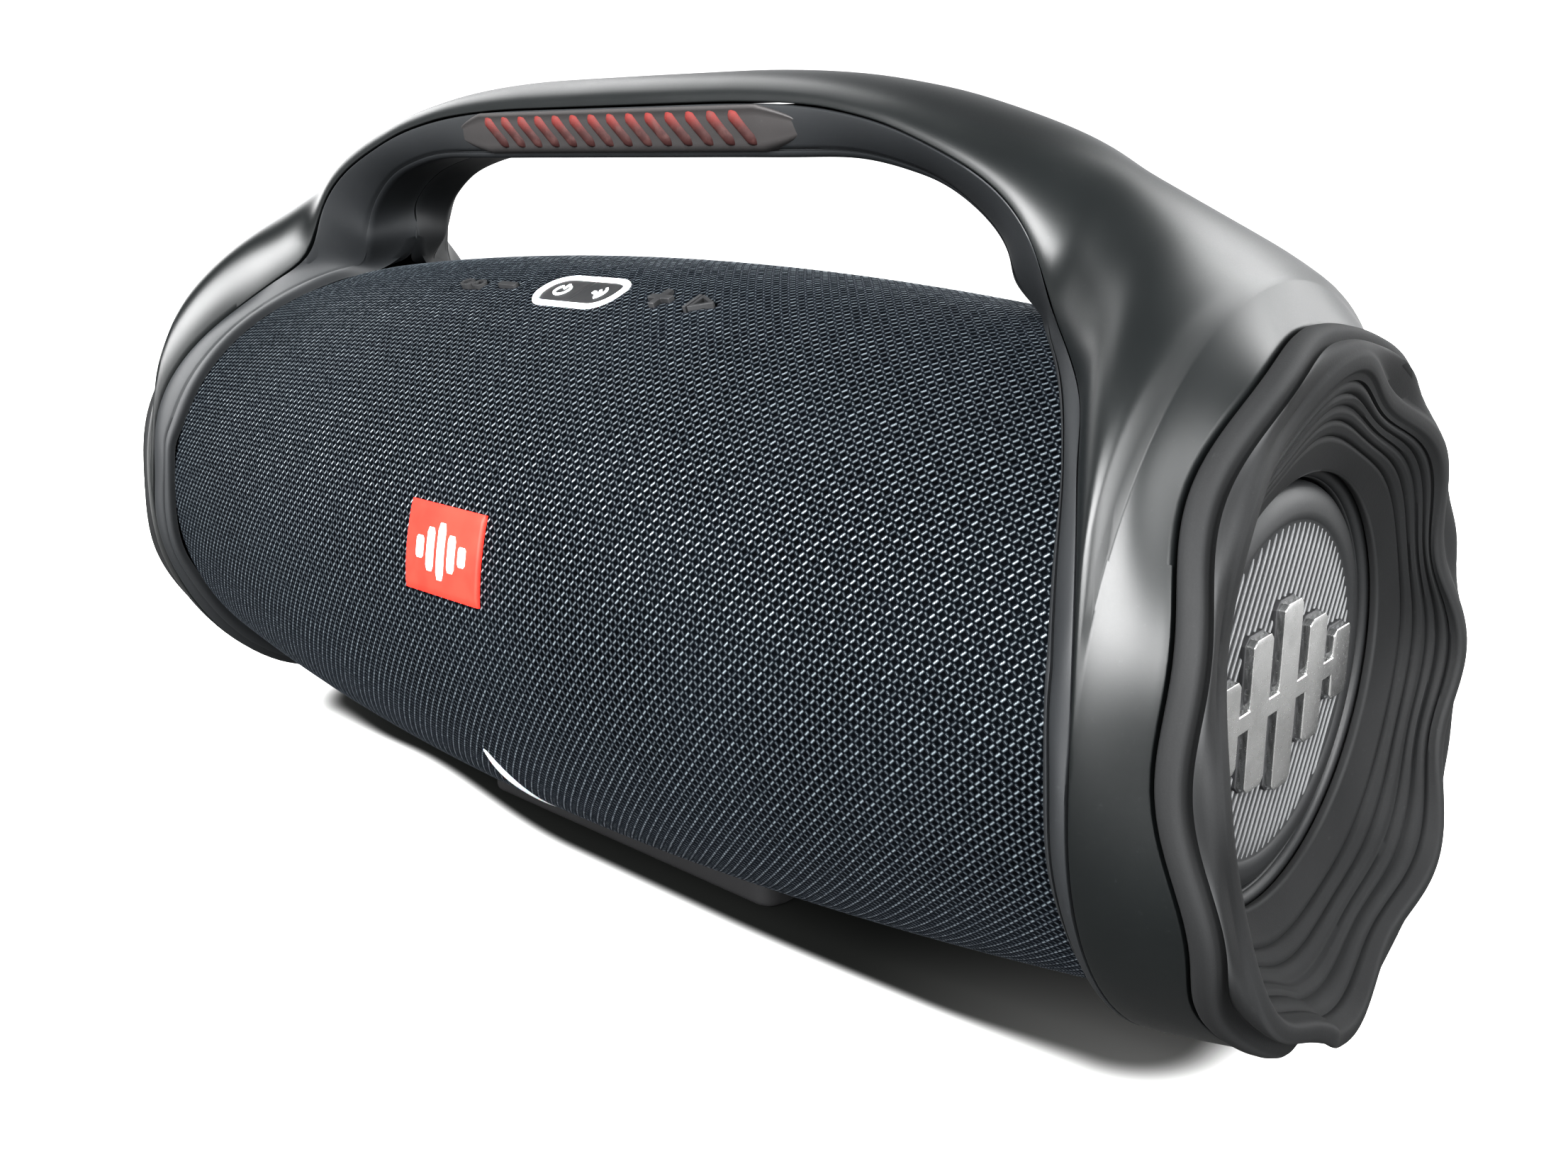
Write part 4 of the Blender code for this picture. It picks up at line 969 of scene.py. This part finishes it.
# ================================================================ grip panels and ribs
GRIP_HALF = 79.0
GRIP_MIDDLE = np.array([0.0, -20.35, 137.9])
GRIP_UP = unit(np.array([0, -4.0, 15.5]))
GRIP_OUT = unit(np.array([0.0, -15.5, 4.0]))
# Panel section: height as a share of the half height, and rise as a share of the thickness
GRIP_SECTION = (
    (0.93, 0.88), (0.82, 1), (0.74, 0.98), (0.66, 0.86), (0.45, 0.90), (0.2, 0.93),
    (0.0, 0.94), (-0.2, 0.93), (-0.45, 0.90), (-0.66, 0.86), (-0.80, 0.86), (-0.92, 0.70),
    (-1.0, 0.45))


def grip(name, side):
    """Panel with slanted ribs: side is -1 for the front and 1 for the rear."""
    def flip(point):
        return point[0], -side * point[1], point[2]

    loops = []
    for x in np.linspace(-GRIP_HALF, GRIP_HALF, 80):
        share = abs(x) / GRIP_HALF
        taper = 1.0 if share < 0.80 else max(0.0, 1 - ((share - 0.80) / 0.20)) ** 0.62
        half_height = 0.6 + 5.9 * taper
        thick = 0.4 + 2.35 * taper
        outline = [(1.0, -0.9), (1.0, 0.55 * thick)]
        outline += [(height, rise * thick) for height, rise in GRIP_SECTION] + [(-1.0, -0.9)]
        middle = GRIP_MIDDLE + np.array([x, 0, 0])
        loops.append([flip(middle + GRIP_UP * half_height * height + GRIP_OUT * rise)
                      for height, rise in outline])
    loft(name + "_panel", loops, "grip_panel_rubber", replaces=name, slot="grip_rubber",
         angle=60)

    ribs = Group()
    angles = np.linspace(-0.5 * math.pi, 1.5 * math.pi, 13)[:-1]
    for k in range(14):
        x = -55.5 + 113.0 * k / 13
        top = GRIP_MIDDLE + np.array([x - 4.3, 0, 0]) + GRIP_UP * 4.9 + GRIP_OUT * 2.2
        foot = GRIP_MIDDLE + np.array([x + 4.3, 0, 0]) - GRIP_UP * 4.9 + GRIP_OUT * 2.2
        across = unit(np.cross(unit(foot - top), GRIP_OUT))
        loops = []
        for j in range(13):
            part = j / 12.0
            from_end = min(part, 1 - part)
            cap = math.sin(math.pi * from_end / 0.16 / 2) if from_end < 0.16 else 1.0
            half_width, tall = 2.05 * max(0.12, cap), 1.25 * max(0.10, cap)
            middle = top + (foot - top) * part
            loop = []
            for angle in angles:
                sin = math.sin(angle)
                rise = tall * max(0.0, sin) - (0.8 if sin < -0.01 else 0.0)
                loop.append(flip(middle + across * half_width * math.cos(angle)
                                 + GRIP_OUT * rise))
            loops.append(loop)
        ribs.add(loops)
    ribs.build(name + "_ribs", "grip_rib_rubber", slot="grip_rubber", angle=60)


# ================================================================ bumpers
# Outer band: x from its inner edge, and radius from the ring's
BAND_PROFILE = ((0.4, -0.6), (1.2, 0.2), (2.6, 0.5), (4.2, 0.3), (5.6, -0.3), (6.2, -1.0),
                (6.5, -2.6), (6.7, -4.6), (7.1, -5.0), (7.7, -4.6))
# Lip's rounded rim: x and radius from its crest
LIP_PROFILE = ((-0.15, 0.45), (0, -0.3), (0, -1.6), (-0.1, -2.9), (-0.45, -3.5), (-1.1, -3.9))
FUNNEL_STEPS = 40
TERRACES = (0.13, 0.27, 0.41, 0.55, 0.70)   # grooves, as shares of the way down the funnel


def funnel(top, middle, bottom):
    """(x, radius) points down the funnel, cut by the terraces' grooves."""
    pull = middle + (middle - (top + bottom) / 2) * 0.55
    curve = []
    for i in range(FUNNEL_STEPS):
        part = i / FUNNEL_STEPS
        curve.append((1 - part) ** 2 * top + 2 * part * (1 - part) * pull
                     + part * part * bottom)
    points = []
    for i in range(1, FUNNEL_STEPS):
        tangent = curve[min(i + 1, FUNNEL_STEPS - 1)] - curve[i - 1]
        tangent = tangent / np.linalg.norm(tangent)
        normal = np.array([-tangent[1], tangent[0]])
        if normal[0] < 0:
            normal = -normal
        part = i / FUNNEL_STEPS
        cut = max(0.0, *(1 - (abs((part - at) / 0.016) / 1.6) ** 2 for at in TERRACES))
        points.append(tuple(curve[i] - normal * 0.85 * cut))
    return points


def bumper_profile(y, z, side):
    """(x, radius) section of the bumper through a point y, z on the ring's rim."""
    radius = math.hypot(y, z)
    height = z / radius
    deg = degrees_at(y, z)
    ripple = wave(deg)
    leaning = RING_LEAN * lean(height)
    shift = end_shift(y, z) + leaning
    band_x = RING_RIM_X + WAVE_X * ripple + GAP - leaning + shift
    lip_x = LIP_X + 1.5 * ripple - LIP_LEAN * lean(height) + 0.8 * shift
    lip_r = LIP_R + LIP_TALL * height * height + LIP_WAVE * ripple
    # on the right end the lip's lower front has pulled loose and hangs clear of the groove
    loose = 0.0
    if side > 0 and deg > -100:
        loose = math.exp(-((deg + 70.0) / (24.0 if deg > -70.0 else 9.0)) ** 2)
    lip_x += 6.0 * loose
    lip_r -= 1.5 * loose
    # the underside is cut flat
    flat = (RING_FLAT + 1.0) / -height if height < -0.5 else 1e9
    profile = [(band_x, radius - 4.8), (band_x, radius - 1.6)]
    profile += [(band_x + dx, min(radius + dr, flat)) for dx, dr in BAND_PROFILE]
    # the lip rises out of the groove and runs out to its rim
    start = np.array([band_x + 7.9 + 1.5 * loose, min(radius - 3.0, flat) - 6.0 * loose])
    end = np.array([lip_x - 0.6, lip_r + 1.0])
    for part in (0.0, 0.15, 0.35, 0.55, 0.75, 0.9, 1.0):
        point = start + (end - start) * part
        arch = math.sin(math.pi * part)
        profile.append((point[0] + 0.5 * arch, point[1] + 1.0 * arch ** 0.8))
    profile += [(lip_x + dx, lip_r + dr) for dx, dr in LIP_PROFILE]
    middle = np.array([FUNNEL_X + 9.5 - 4.5 * lean(height),
                       67.0 + 2.5 * height * height + 1.6 * ripple])
    profile += funnel(np.array(profile[-1]), middle, np.array([FUNNEL_X, FUNNEL_R]))
    profile += [(FUNNEL_X, FUNNEL_R), (FUNNEL_X - 0.7, FUNNEL_R - 0.2),
                (FUNNEL_X - 2.4, FUNNEL_R + 0.6), (FUNNEL_X - 2.4, 68.5),
                (band_x - 3.0, radius - 7.6), (band_x - 3.0, radius - 4.8)]
    return profile


def bumper(tag, side):
    loops = []
    for y, z in closed_section(RING_RIM_X, 80, 0.0):
        radius = math.hypot(y, z)
        loops.append([(side * x, r * (y / radius), r * (z / radius))
                      for x, r in bumper_profile(y, z, side)])
    loft("bumper_ring_" + tag, loops, "bumper_rubber_matte", ring=True,
         replaces="bumper_" + tag, slot="bumper_rubber", angle=55)


# ================================================================ ends: surround, disc, emblem
# Radius and x of the disc's section
DISC_PROFILE = [
    (0.0, 206.5), (18.4, 206.5), (19, 206.9), (20.6, 211.4), (52.2, 211.6), (52.2, 207.6),
    (53.5, 207.6), (53.6, 212.6), (53.4, 213.5), (52.9, 214.4), (52.0, 215.2),
    (50.5, 216.0), (48.5, 216.6), (46.4, 216.75), (44.9, 216.6), (44.3, 216.2),
    (43.9, 216.0), (20.0, 216.05), (0.0, 216.1)]
# Fine lines on the disc: slant, spacing, radius of their field, height of their ground
LINE_DEG, LINE_PITCH, LINE_FIELD, LINE_X = 62.0, 2.9, 43.4, 216.0
# Emblem's five bars: place across and half height
EMBLEM_BARS = [(-32, 12), (-16, 20), (0, 25), (16, 17), (32, 10)]


def surround(tag, side):
    """Rolled ring round the disc."""
    profile = [(54.3, 212.6), (54.3, 213.8), (54.5, 214.1)]
    for k in range(11):
        angle = math.pi * (1 - k / 10)
        profile.append((57.2 + 2.5 * math.cos(angle), 214.2 + 1.8 * math.sin(angle)))
    profile += [(60.2, 213.8), (61.2, 213.4), (61.2, 211.6), (59.0, 212.3)]
    for k in range(9):
        angle = math.pi * k / 8
        profile.append((57.2 + 1.4 * math.cos(angle), 212.6 + 1.0 * math.sin(angle)))
    profile.append((55.2, 212.4))
    turned("surround_roll_" + tag, side, profile, replaces="surround_" + tag,
           slot="radiator_rubber", angle=50)


def disc_lines(tag, side, body):
    """Field of fine slanted ribs inside the disc's border."""
    lines = Group()
    angle = math.radians(LINE_DEG)
    along = np.array([math.cos(angle) * side, math.sin(angle)])
    across = np.array([-along[1], along[0]])
    for k in range(-14, 15):
        offset = k * LINE_PITCH
        half = math.sqrt(LINE_FIELD * LINE_FIELD - offset * offset)
        loops = []
        # share of the length, and how full the line stands there
        for part, cap in ((0.0, 0.25), (0.025, 0.75), (0.06, 1.0), (0.5, 1.0), (0.94, 1.0),
                          (0.975, 0.75), (1.0, 0.25)):
            middle = across * offset + along * (-half + 2 * half * part)
            loop = []
            for width, rise in ((-0.42, -0.3), (-0.38, 0.32 * cap), (-0.18, 0.48 * cap),
                                (0.18, 0.48 * cap), (0.38, 0.32 * cap), (0.42, -0.3)):
                y, z = middle + across * width * (0.6 + 0.4 * cap)
                loop.append((side * (LINE_X + rise), y, z))
            loops.append(loop)
        lines.add(loops)
    # paler than the disc: painted highlight on the lines
    lines.build("disc_ribs_" + tag, "disc_lines_painted_highlight", body=body, slot="radiator_rubber",
                angle=30)


def emblem_outline(margin):
    """Five level bars on one web, grown by margin."""
    points = []
    for side, bars in ((-1, EMBLEM_BARS), (1, EMBLEM_BARS[::-1])):
        for middle, height in bars:
            half_bar = [(5.4 + margin, 2.6 + margin), (5.4 + margin, height - 1.6),
                        (3.8, height + margin)]
            points += [(middle + side * x, side * y) for x, y in half_bar]
            points += [(middle - side * x, side * y) for x, y in half_bar[::-1]]
    return points


def emblem(tag, side, body):
    """Dark seat and polished face."""
    axes = (np.zeros(3), np.array((0, 1.0, 0)), np.array((0, 0, 1.0)),
            np.array((float(side), 0, 0)))
    loft("emblem_seat_" + tag, prism_loops(emblem_outline(0.45), 215.4, 217.2, axes),
         "key_rubber_matte", body=body, bevel=0.2, segs=1)
    loft("emblem_face_" + tag, prism_loops(emblem_outline(-0.15), 217.0, 219.35, axes),
         "polished_emblem_metal", body=body, replaces="emblem_" + tag, slot="chrome",
         bevel=0.35, segs=2)


def end_pieces(tag, side):
    body = f"radiator_{tag}_disc"
    bumper(tag, side)
    surround(tag, side)
    turned("radiator_disc_" + tag, side, DISC_PROFILE, body=body,
           replaces="radiator_" + tag, slot="radiator_rubber", angle=40)
    disc_lines(tag, side, body)
    emblem(tag, side, body)


# ================================================================ badge
def badge():
    """Red plate on the front with five pale bars."""
    # half section: x and height over the barrel
    half = [(18.0, 1.0), (17.6, 1.45), (17.0, 1.6)]
    outline = [(-18.0, 0.15), (0, 0.15), (18.0, 0.15), *half]
    outline += [(17.0 - 34.0 * j / 8, 1.6) for j in range(1, 8)]
    outline += [(-x, rise) for x, rise in half[::-1]]
    loops = []
    for k in range(25):
        deg = BADGE_DEG - 8.0 + 16.0 * k / 24
        # the upper face rounds off at both ends
        drop = {0: 0.6, 1: 0.12}.get(min(k, 24 - k), 0.0)
        loops.append([(x, *ring_yz(BARREL_R + rise - (drop if rise > 1.2 else 0.0), deg))
                      for x, rise in outline])
    loft("badge_plate", loops, "badge_red", replaces="front_badge", slot="red_badge",
         angle=50)

    marks = Group()
    for middle, height in ((-10.4, 3.4), (-5.2, 6.6), (0.0, 8.6), (5.2, 5.6), (10.4, 3.0)):
        loops = []
        for k in range(9):
            deg = BADGE_DEG + math.degrees((-height + 2 * height * k / 8) / 99.0)
            half = 1.75 if 0 < k < 8 else 1.1
            loops.append([(middle + x, *ring_yz(r, deg)) for x, r in (
                (-half, 98.8), (half, 98.8), (half, 99.32), (-half, 99.32))])
        marks.add(loops)
    marks.build("badge_marks", "light_guide_white", slot="white_guide", angle=40)


# ================================================================ top controls
KEY_LOW, KEY_HIGH = -8.6, 1.15          # heights of a small key over the barrel
PILL_FRAME = skin_frame(ROW_X, BUTTON_DEG)
# Light ring's section: outline (0 outer, 1 crest, 2 inner), scale in x and y, height
LIGHT_RING_SECTION = (
    (0, 1.012, 1.03, -1.2), (0, 1.012, 1.03, 0.15), (0, 1, 1, 0.55), (1, 1, 1, 0.72),
    (2, 1.005, 1.01, 0.55), (2, 1, 1, 0.2), (2, 1, 1, -5.0), (0, 0.985, 0.97, -5.0))
DIVIDE_X = 0.16                         # half the slit between the two pads


def link_key(key, axes, radius):
    """Two linked ovals and a bar between them."""
    # half width, half height and height over the barrel round the oval's section
    section_points = ((3.1, 2.5, KEY_LOW), (2.95, 2.35, KEY_HIGH), (1.75, 1.25, KEY_HIGH),
                      (1.6, 1.1, KEY_LOW))
    for middle in (-3.2, 3.2):
        loops = []
        for i in range(28):
            angle = 2 * math.pi * i / 28
            loops.append([place(axes, middle + wide * math.cos(angle),
                                tall * math.sin(angle), radius + height)
                          for wide, tall, height in section_points])
        key.add(loops, ring=True)
    bar = [(x * 0.45, y) for x, y in rounded(12.0, 1.3, 0.6, 3)]
    key.add(prism_loops(bar, radius + KEY_LOW, radius + 1.05, axes))


def play_key(key, axes, radius):
    """Hollow triangle and a bar to its left."""
    triangle = [(-2.9, -3.9), (4.4, -0.35), (4.4, 0.35), (-2.9, 3.9)]
    hollow = [(-1.7, -2.1), (2.4, -0.1), (2.4, 0.1), (-1.7, 2.1)]
    low, high = radius + KEY_LOW, radius + KEY_HIGH
    key.add([[place(axes, *outer, low), place(axes, *outer, high),
              place(axes, *inner, high), place(axes, *inner, low)]
             for outer, inner in zip(triangle, hollow)], ring=True)
    bar = [(-4.9, -4.0), (-3.7, -4.0), (-3.7, 4.0), (-4.9, 4.0)]
    key.add(prism_loops(bar, low, high, axes))


def small_keys():
    special = {"link": link_key, "play": play_key}
    for name, (offset, outline) in SMALL_KEYS.items():
        axes = skin_frame(ROW_X + offset, BUTTON_DEG)
        radius = float(barrel_radius(ROW_X + offset))
        key = Group()
        if name in special:
            special[name](key, axes, radius)
        else:
            key.add(prism_loops(outline, radius + KEY_LOW, radius + KEY_HIGH, axes))
        key.build(f"button_{name}_mark", "key_rubber_matte", body="key_" + name,
                  replaces="button_" + name, slot="key_rubber",
                  bevel=0.18 if name in special else 0.25, segs=2)


def on_pill(x, y, height):
    """Point over the pill, with its height following the barrel's curve."""
    surface = math.sqrt(float(barrel_radius(ROW_X + x)) ** 2 - y * y)
    return place(PILL_FRAME, x, y, surface + height)


def light_ring():
    outlines = zip(pill(), pill(0.9), pill(2.0))
    loops = [[on_pill(points[n][0] * scale_x, points[n][1] * scale_y, height)
              for n, scale_x, scale_y, height in LIGHT_RING_SECTION] for points in outlines]
    loft("light_ring_frame", loops, "light_guide_white", ring=True, replaces="light_ring",
         slot="white_guide", angle=40)


def pads():
    """The two halves of the pill inside the light ring."""
    key = pill(2.35)
    quarter = len(key) // 4
    left, right = key[quarter:3 * quarter], key[3 * quarter:] + key[:quarter]
    for name, side, half in (("power", -1, left), ("wireless", 1, right)):
        divide = [(DIVIDE_X * side, y * side) for y in (7.05, 4.0, 0.0, -4.0, -7.05)]
        outline = refine(half + divide, 2.5)
        middle = 8.0 * side
        # each loop's scale about the pad's middle, and its height
        loops = [[on_pill(middle + (x - middle) * scale, y * scale, height)
                  for x, y in outline]
                 for scale, height in ((1.0, -8.5), (1.0, -0.5), (0.985, -0.15),
                                       (0.96, -0.02), (0.80, -0.1), (0.5, -0.2),
                                       (0.2, -0.25))]
        loft(f"button_{name}_pad", loops, "key_rubber_matte", body="key_" + name,
             replaces="button_" + name, slot="key_rubber", angle=40)


def stroke(group, points, width=0.95):
    """A flat printed stroke along points on the pill."""
    low, high = -0.7, 0.14
    points = [np.array(point, float) for point in points]
    loops = []
    for i, point in enumerate(points):
        along = unit(points[min(i + 1, len(points) - 1)] - points[max(i - 1, 0)])
        across = np.array([-along[1], along[0]]) * width / 2
        left, right = point + across, point - across
        loops.append([on_pill(*left, low), on_pill(*right, low), on_pill(*right, high),
                      on_pill(*left, high)])
    group.add(loops)


def arc_points(x, radius, start, end, count):
    return [(x + radius * math.cos(angle), radius * math.sin(angle))
            for angle in np.linspace(math.radians(start), math.radians(end), count)]


def symbols():
    power = Group()
    stroke(power, arc_points(x=-8.8, radius=2.9, start=125, end=415, count=22))
    stroke(power, [(-8.8, 0.6), (-8.8, 3.7)])
    power.build("power_symbol", "printed_mark_pale", body="key_power", slot="white_guide")
    wireless = Group()
    for radius in (2.1, 4.1):
        stroke(wireless, arc_points(x=6.6, radius=radius, start=-52, end=52, count=12))
    stroke(wireless, [(5.9, 0.0), (7.2, 0.0)], width=1.4)
    wireless.build("wireless_symbol", "printed_mark_pale", body="key_wireless",
                   slot="white_guide")


# ================================================================ light, foot and door
def charge_light():
    """Slanted lens-shaped light low on the front."""
    loops = []
    for k in range(25):
        part = -1 + 2 * k / 24
        deg = LIGHT_DEG + LIGHT_SPAN * part
        half = 0.35 + 3.25 * (1 - part * part)
        middle = LIGHT_X + LIGHT_SLANT * part
        # share of the half width, and height over the barrel
        row = ((-1.0, -1.6), (-1.0, 0.05), (-0.8, 0.30), (-0.4, 0.42), (0.0, 0.46),
               (0.4, 0.42), (0.8, 0.30), (1.0, 0.05), (1.0, -1.6))
        loops.append([(middle + half * share, *ring_yz(BARREL_R + rise, deg))
                      for share, rise in row])
    loft("charge_light", loops, "indicator_milky", replaces="indicator_lens",
         slot="white_guide", angle=60)


def foot_pad():
    """Pad from the barrel's underside down to the ground, with rounded corners."""
    loops = []
    for x in (*np.linspace(-72, -66, 7), *np.linspace(-63, 63, 43), *np.linspace(66, 72, 7)):
        corner = max(0.0, (abs(x) - 66) / 6.0)
        half = 36.0 - 5.5 * (1 - math.sqrt(max(0.0, 1 - corner * corner)))
        radius = float(barrel_radius(x)) + 0.25
        side = [(half - 1.1, -99.7), (half - 0.3, -98.9), (half, -97.6)]
        loop = [(x, y, -AXIS_Z) for y in np.linspace(-half + 2.4, half - 2.4, 25)]
        loop += [(x, y, z) for y, z in side]
        loop += [(x, y, -math.sqrt(radius * radius - y * y))
                 for y in np.linspace(half, -half, 25)]
        loop += [(x, -y, z) for y, z in side[::-1]]
        loops.append(loop)
    loft("foot_pad", loops, "foot_rubber", replaces="base_foot", slot="bumper_rubber",
         angle=50)


def port_door():
    """Rear door flush with the barrel, with a shallow hollow near its upper edge."""
    half_x, corner_r = DOOR_X - 0.4, 3.0
    loops = []
    for x in np.linspace(-half_x, half_x, 60):
        corner = max(0.0, (abs(x) - (half_x - corner_r)) / corner_r)
        half_z = DOOR_Z - 0.4 - corner_r * (1 - math.sqrt(max(0.0, 1 - corner * corner)))
        outer = float(barrel_radius(x)) - 0.1
        loop = []
        for z in np.linspace(-half_z, half_z, 21):
            edge = min(1.0, (half_z - abs(z)) / 0.9)
            rounding = 0.7 * (1 - math.sqrt(max(0, 1 - (1 - edge) ** 2)))
            hollow = 0.0
            if abs(x) < 14 and 9.5 < z < 13.0:
                hollow = 0.5 * math.sin(math.pi * (z - 9.5) / 3.5)
                hollow *= math.sqrt(max(0.0, 1 - (x / 14) ** 2))
            loop.append((x, math.sqrt(outer * outer - z * z) - rounding - hollow * 1.2, z))
        inner = float(barrel_radius(x)) - 3.9
        loop += [(x, math.sqrt(inner * inner - z * z), z)
                 for z in np.linspace(half_z, -half_z, 9)]
        loops.append(loop)
    loft("door_panel", loops, "matte_grey_liner", body="door", replaces="port_door",
         slot="trim_rubber", angle=50)


# ================================================================ carried-over pieces
# Material of each piece that stays as the frame has it
LOOKS = {
    "moulded_black_plastic": "enclosure_front enclosure_rear end_frame_left end_frame_right"
                             " tweeter_left tweeter_right port_bay battery_tray",
    "circuit_board": "button_board main_board",
    "plated_steel": "woofer_frame_left woofer_frame_right usb_socket_1 usb_socket_2",
    "ferrite_grey": "woofer_motor_left woofer_motor_right",
    "pressed_paper_cone": "woofer_cone_left woofer_cone_right",
    "disc_rubber_smooth": "woofer_surround_left woofer_surround_right",
    "key_rubber_matte": "dc_jack aux_jack",
    "battery_wrap_blue": "battery_pack",
    "extruded_aluminium": "heat_sink",
    "cable_jacket_black": "board_cable",
}


def dress_frame():
    looks = {node: material for material, nodes in LOOKS.items() for node in nodes.split()}
    for name, ob in frame["nodes"].items():
        material = "plated_steel" if name.startswith("end_screw") else looks.get(name)
        if material:
            ob.data.materials.clear()
            ob.data.materials.append(MATERIALS[material])


# ================================================================ stage, in metres
# Area lights: name, place, target, width, height (None for a square) and watts
LIGHTS = (
    ("front_window", (0.40, -1.60, 0.98), (0.16, 0, 0.10), 2.3, 1.20, 170),
    ("right_side", (1.7, -0.25, 0.62), (0.22, 0, 0.08), 0.9, None, 34),
    ("back_fill", (0.95, 1.55, 0.60), (0.05, 0, 0.1), 1.0, None, 13),
    ("left_high", (-1.3, 0.45, 1.35), (-0.1, 0, 0.2), 1.2, None, 11),
    ("back_high", (0.55, 1.50, 1.35), (0.05, 0, 0.1), 1.3, 0.7, 19),
    ("left_side", (-1.7, 0.3, 0.5), (-0.2, 0, 0.1), 0.9, None, 7),
)


def floor_material():
    """White floor with a painted soft shadow under the speaker; other rays see it dim, darker
    towards the front as painted shade.
    """
    mat = Surface("floor_pale", (0.5, 0.5, 0.497), 0.6)
    x, y, _ = mat.split(mat.coord())
    off_x, off_y = mat.math("ABSOLUTE", x), mat.math("ABSOLUTE", y)
    # the painted shadow is a rounded bar, whose half depth changes along x
    half_y = mat.add(mat.step(x, lo=-0.13, hi=-0.01, out_lo=0.006, out_hi=0.020),
                     mat.step(x, lo=0.06, hi=0.20, out_lo=0.0, out_hi=-0.005))
    out_x = mat.math("MAXIMUM", mat.sub(off_x, 0.190), 0.0)
    out_y = mat.math("MAXIMUM", mat.sub(off_y, half_y), 0.0)
    distance = mat.math("SQRT", mat.add(mat.mul(out_x, out_x), mat.mul(out_y, out_y)))
    distance = mat.sub(distance, 0.030)
    softness = mat.mul_add(mat.step(off_x, lo=0.140, hi=0.212), 1.6, 1.0)
    lit = mat.step(mat.math("DIVIDE", distance, softness), lo=-0.0055, hi=0.0050)
    path = mat.node("LightPath")
    seen = path.outputs["Is Camera Ray"]
    # to other rays the floor is dim and darker towards the front: painted shade
    painted_floor_shade = mat.mix(mat.step(y, lo=-0.9, hi=-0.15), (0.03, 0.03, 0.03), (0.09, 0.09, 0.089))
    # painted shadow colour, paler towards the right end
    patch = mat.mix(mat.step(x, lo=0.10, hi=0.21),
                    (0.010, 0.0105, 0.010), (0.05, 0.05, 0.049))
    # camera rays see the pale floor, or the painted shadow colour under the speaker; other
    # rays see the painted floor shade
    mat.set("Base Color", mat.mix(seen, painted_floor_shade, mat.mix(lit, patch, (0.50, 0.50, 0.497))))
    grain = mat.step(mat.noise(size=400, detail=2), lo=0.35, hi=0.65)
    mat.set("Roughness", mat.mul_add(grain, 0.08, 0.58))
    mat.set("Specular IOR Level", 0.1)
    # the floor glows to the camera outside the painted shadow, and behind and to the left to
    # glossy rays only: a painted reflection
    behind = mat.math("MAXIMUM", mat.step(y, lo=0.15, hi=0.8),
                      mat.step(x, lo=-0.42, hi=-0.85))
    painted_reflection_glow = mat.mul(mat.mul(behind, 0.85), path.outputs["Is Glossy Ray"])
    mat.set("Emission Color", (1, 1, 1))
    mat.set("Emission Strength", mat.add(mat.mul(mat.mul(lit, 0.95), seen), painted_reflection_glow))


def floor_sheet():
    half, z = 14.0, -0.0002
    mesh = bpy.data.meshes.new("floor_sheet")
    corners = [(-half, -half, z), (half, -half, z), (half, half, z), (-half, half, z)]
    mesh.from_pydata(corners, [], [(0, 1, 2, 3)])
    mesh.shade_smooth()
    floor_material()
    mesh.materials.append(MATERIALS["floor_pale"])
    link_object("floor_sheet", mesh)


def area_light(name, location, target, width, height, watts):
    light = bpy.data.lights.new(name, "AREA")
    light.energy = watts
    light.size = width
    if height:
        light.shape = "RECTANGLE"
        light.size_y = height
    ob = link_object(name, light)
    ob.location = location
    aim = Vector(target) - Vector(location)
    ob.rotation_euler = aim.to_track_quat("-Z", "Y").to_euler()


def studio_air():
    """White to the camera; otherwise a ramp on height, dimmed towards the front."""
    air = bpy.data.worlds.new("studio_air")
    bpy.context.scene.world = air
    air.use_nodes = True
    nodes = Nodes(air.node_tree)
    _, y, z = nodes.split(nodes.node("TexCoord").outputs["Generated"])
    ramp = nodes.node("ValToRGB", {0: z})
    stops = ramp.color_ramp.elements
    stops[0].color = (1.0, 1.0, 1.0, 1)
    stops[1].color = (0.34, 0.345, 0.35, 1)
    stops.new(0.25).color = (0.78, 0.79, 0.80, 1)
    stops.new(0.5).color = (0.16, 0.16, 0.165, 1)
    # value, from lowest, from highest, to lowest, to highest
    front_dim = nodes.node("MapRange", dict(enumerate((0.0, -0.6, 0.3, 0.30, 1.0))),
                           interpolation_type="SMOOTHSTEP")
    nodes.plug(front_dim.inputs[0], y)
    dimmed = nodes.mix(front_dim.outputs[0], (0, 0, 0), ramp.outputs[0])
    seen = nodes.node("LightPath").outputs["Is Camera Ray"]
    background = nodes.tree.nodes["Background"]
    nodes.plug(background.inputs["Color"], nodes.mix(seen, dimmed, (1, 1, 1)))
    background.inputs["Strength"].default_value = 1.0


def view_camera():
    data = bpy.data.cameras.new("view_camera")
    data.sensor_width = 36.0
    data.lens = 33.89
    data.clip_start, data.clip_end = 0.01, 60
    camera = link_object("view_camera", data)
    right = Vector((0.73913, 0.67324, -0.02076))
    down = Vector((0.18722, -0.23496, -0.95381))
    forward = Vector((-0.64702, 0.7011, -0.29971))
    turn = Matrix((right, -down, -forward)).transposed()
    camera.matrix_world = Matrix.Translation((0.3601, -0.3376, 0.2390)) @ turn.to_4x4()
    bpy.context.scene.camera = camera


make_materials()
fabric_sleeve()
shell()
liner("liner_front", -1, "trim_front")
liner("liner_rear", 1, "trim_rear")
grip("grip_front", -1)
grip("grip_rear", 1)
end_pieces("left", -1)
end_pieces("right", 1)
badge()
small_keys()
light_ring()
pads()
symbols()
charge_light()
foot_pad()
port_door()
dress_frame()
floor_sheet()
for light_values in LIGHTS:
    area_light(*light_values)
studio_air()
bpy.context.scene.view_settings.view_transform = "Standard"
bpy.context.scene.view_settings.look = "High Contrast"
view_camera()
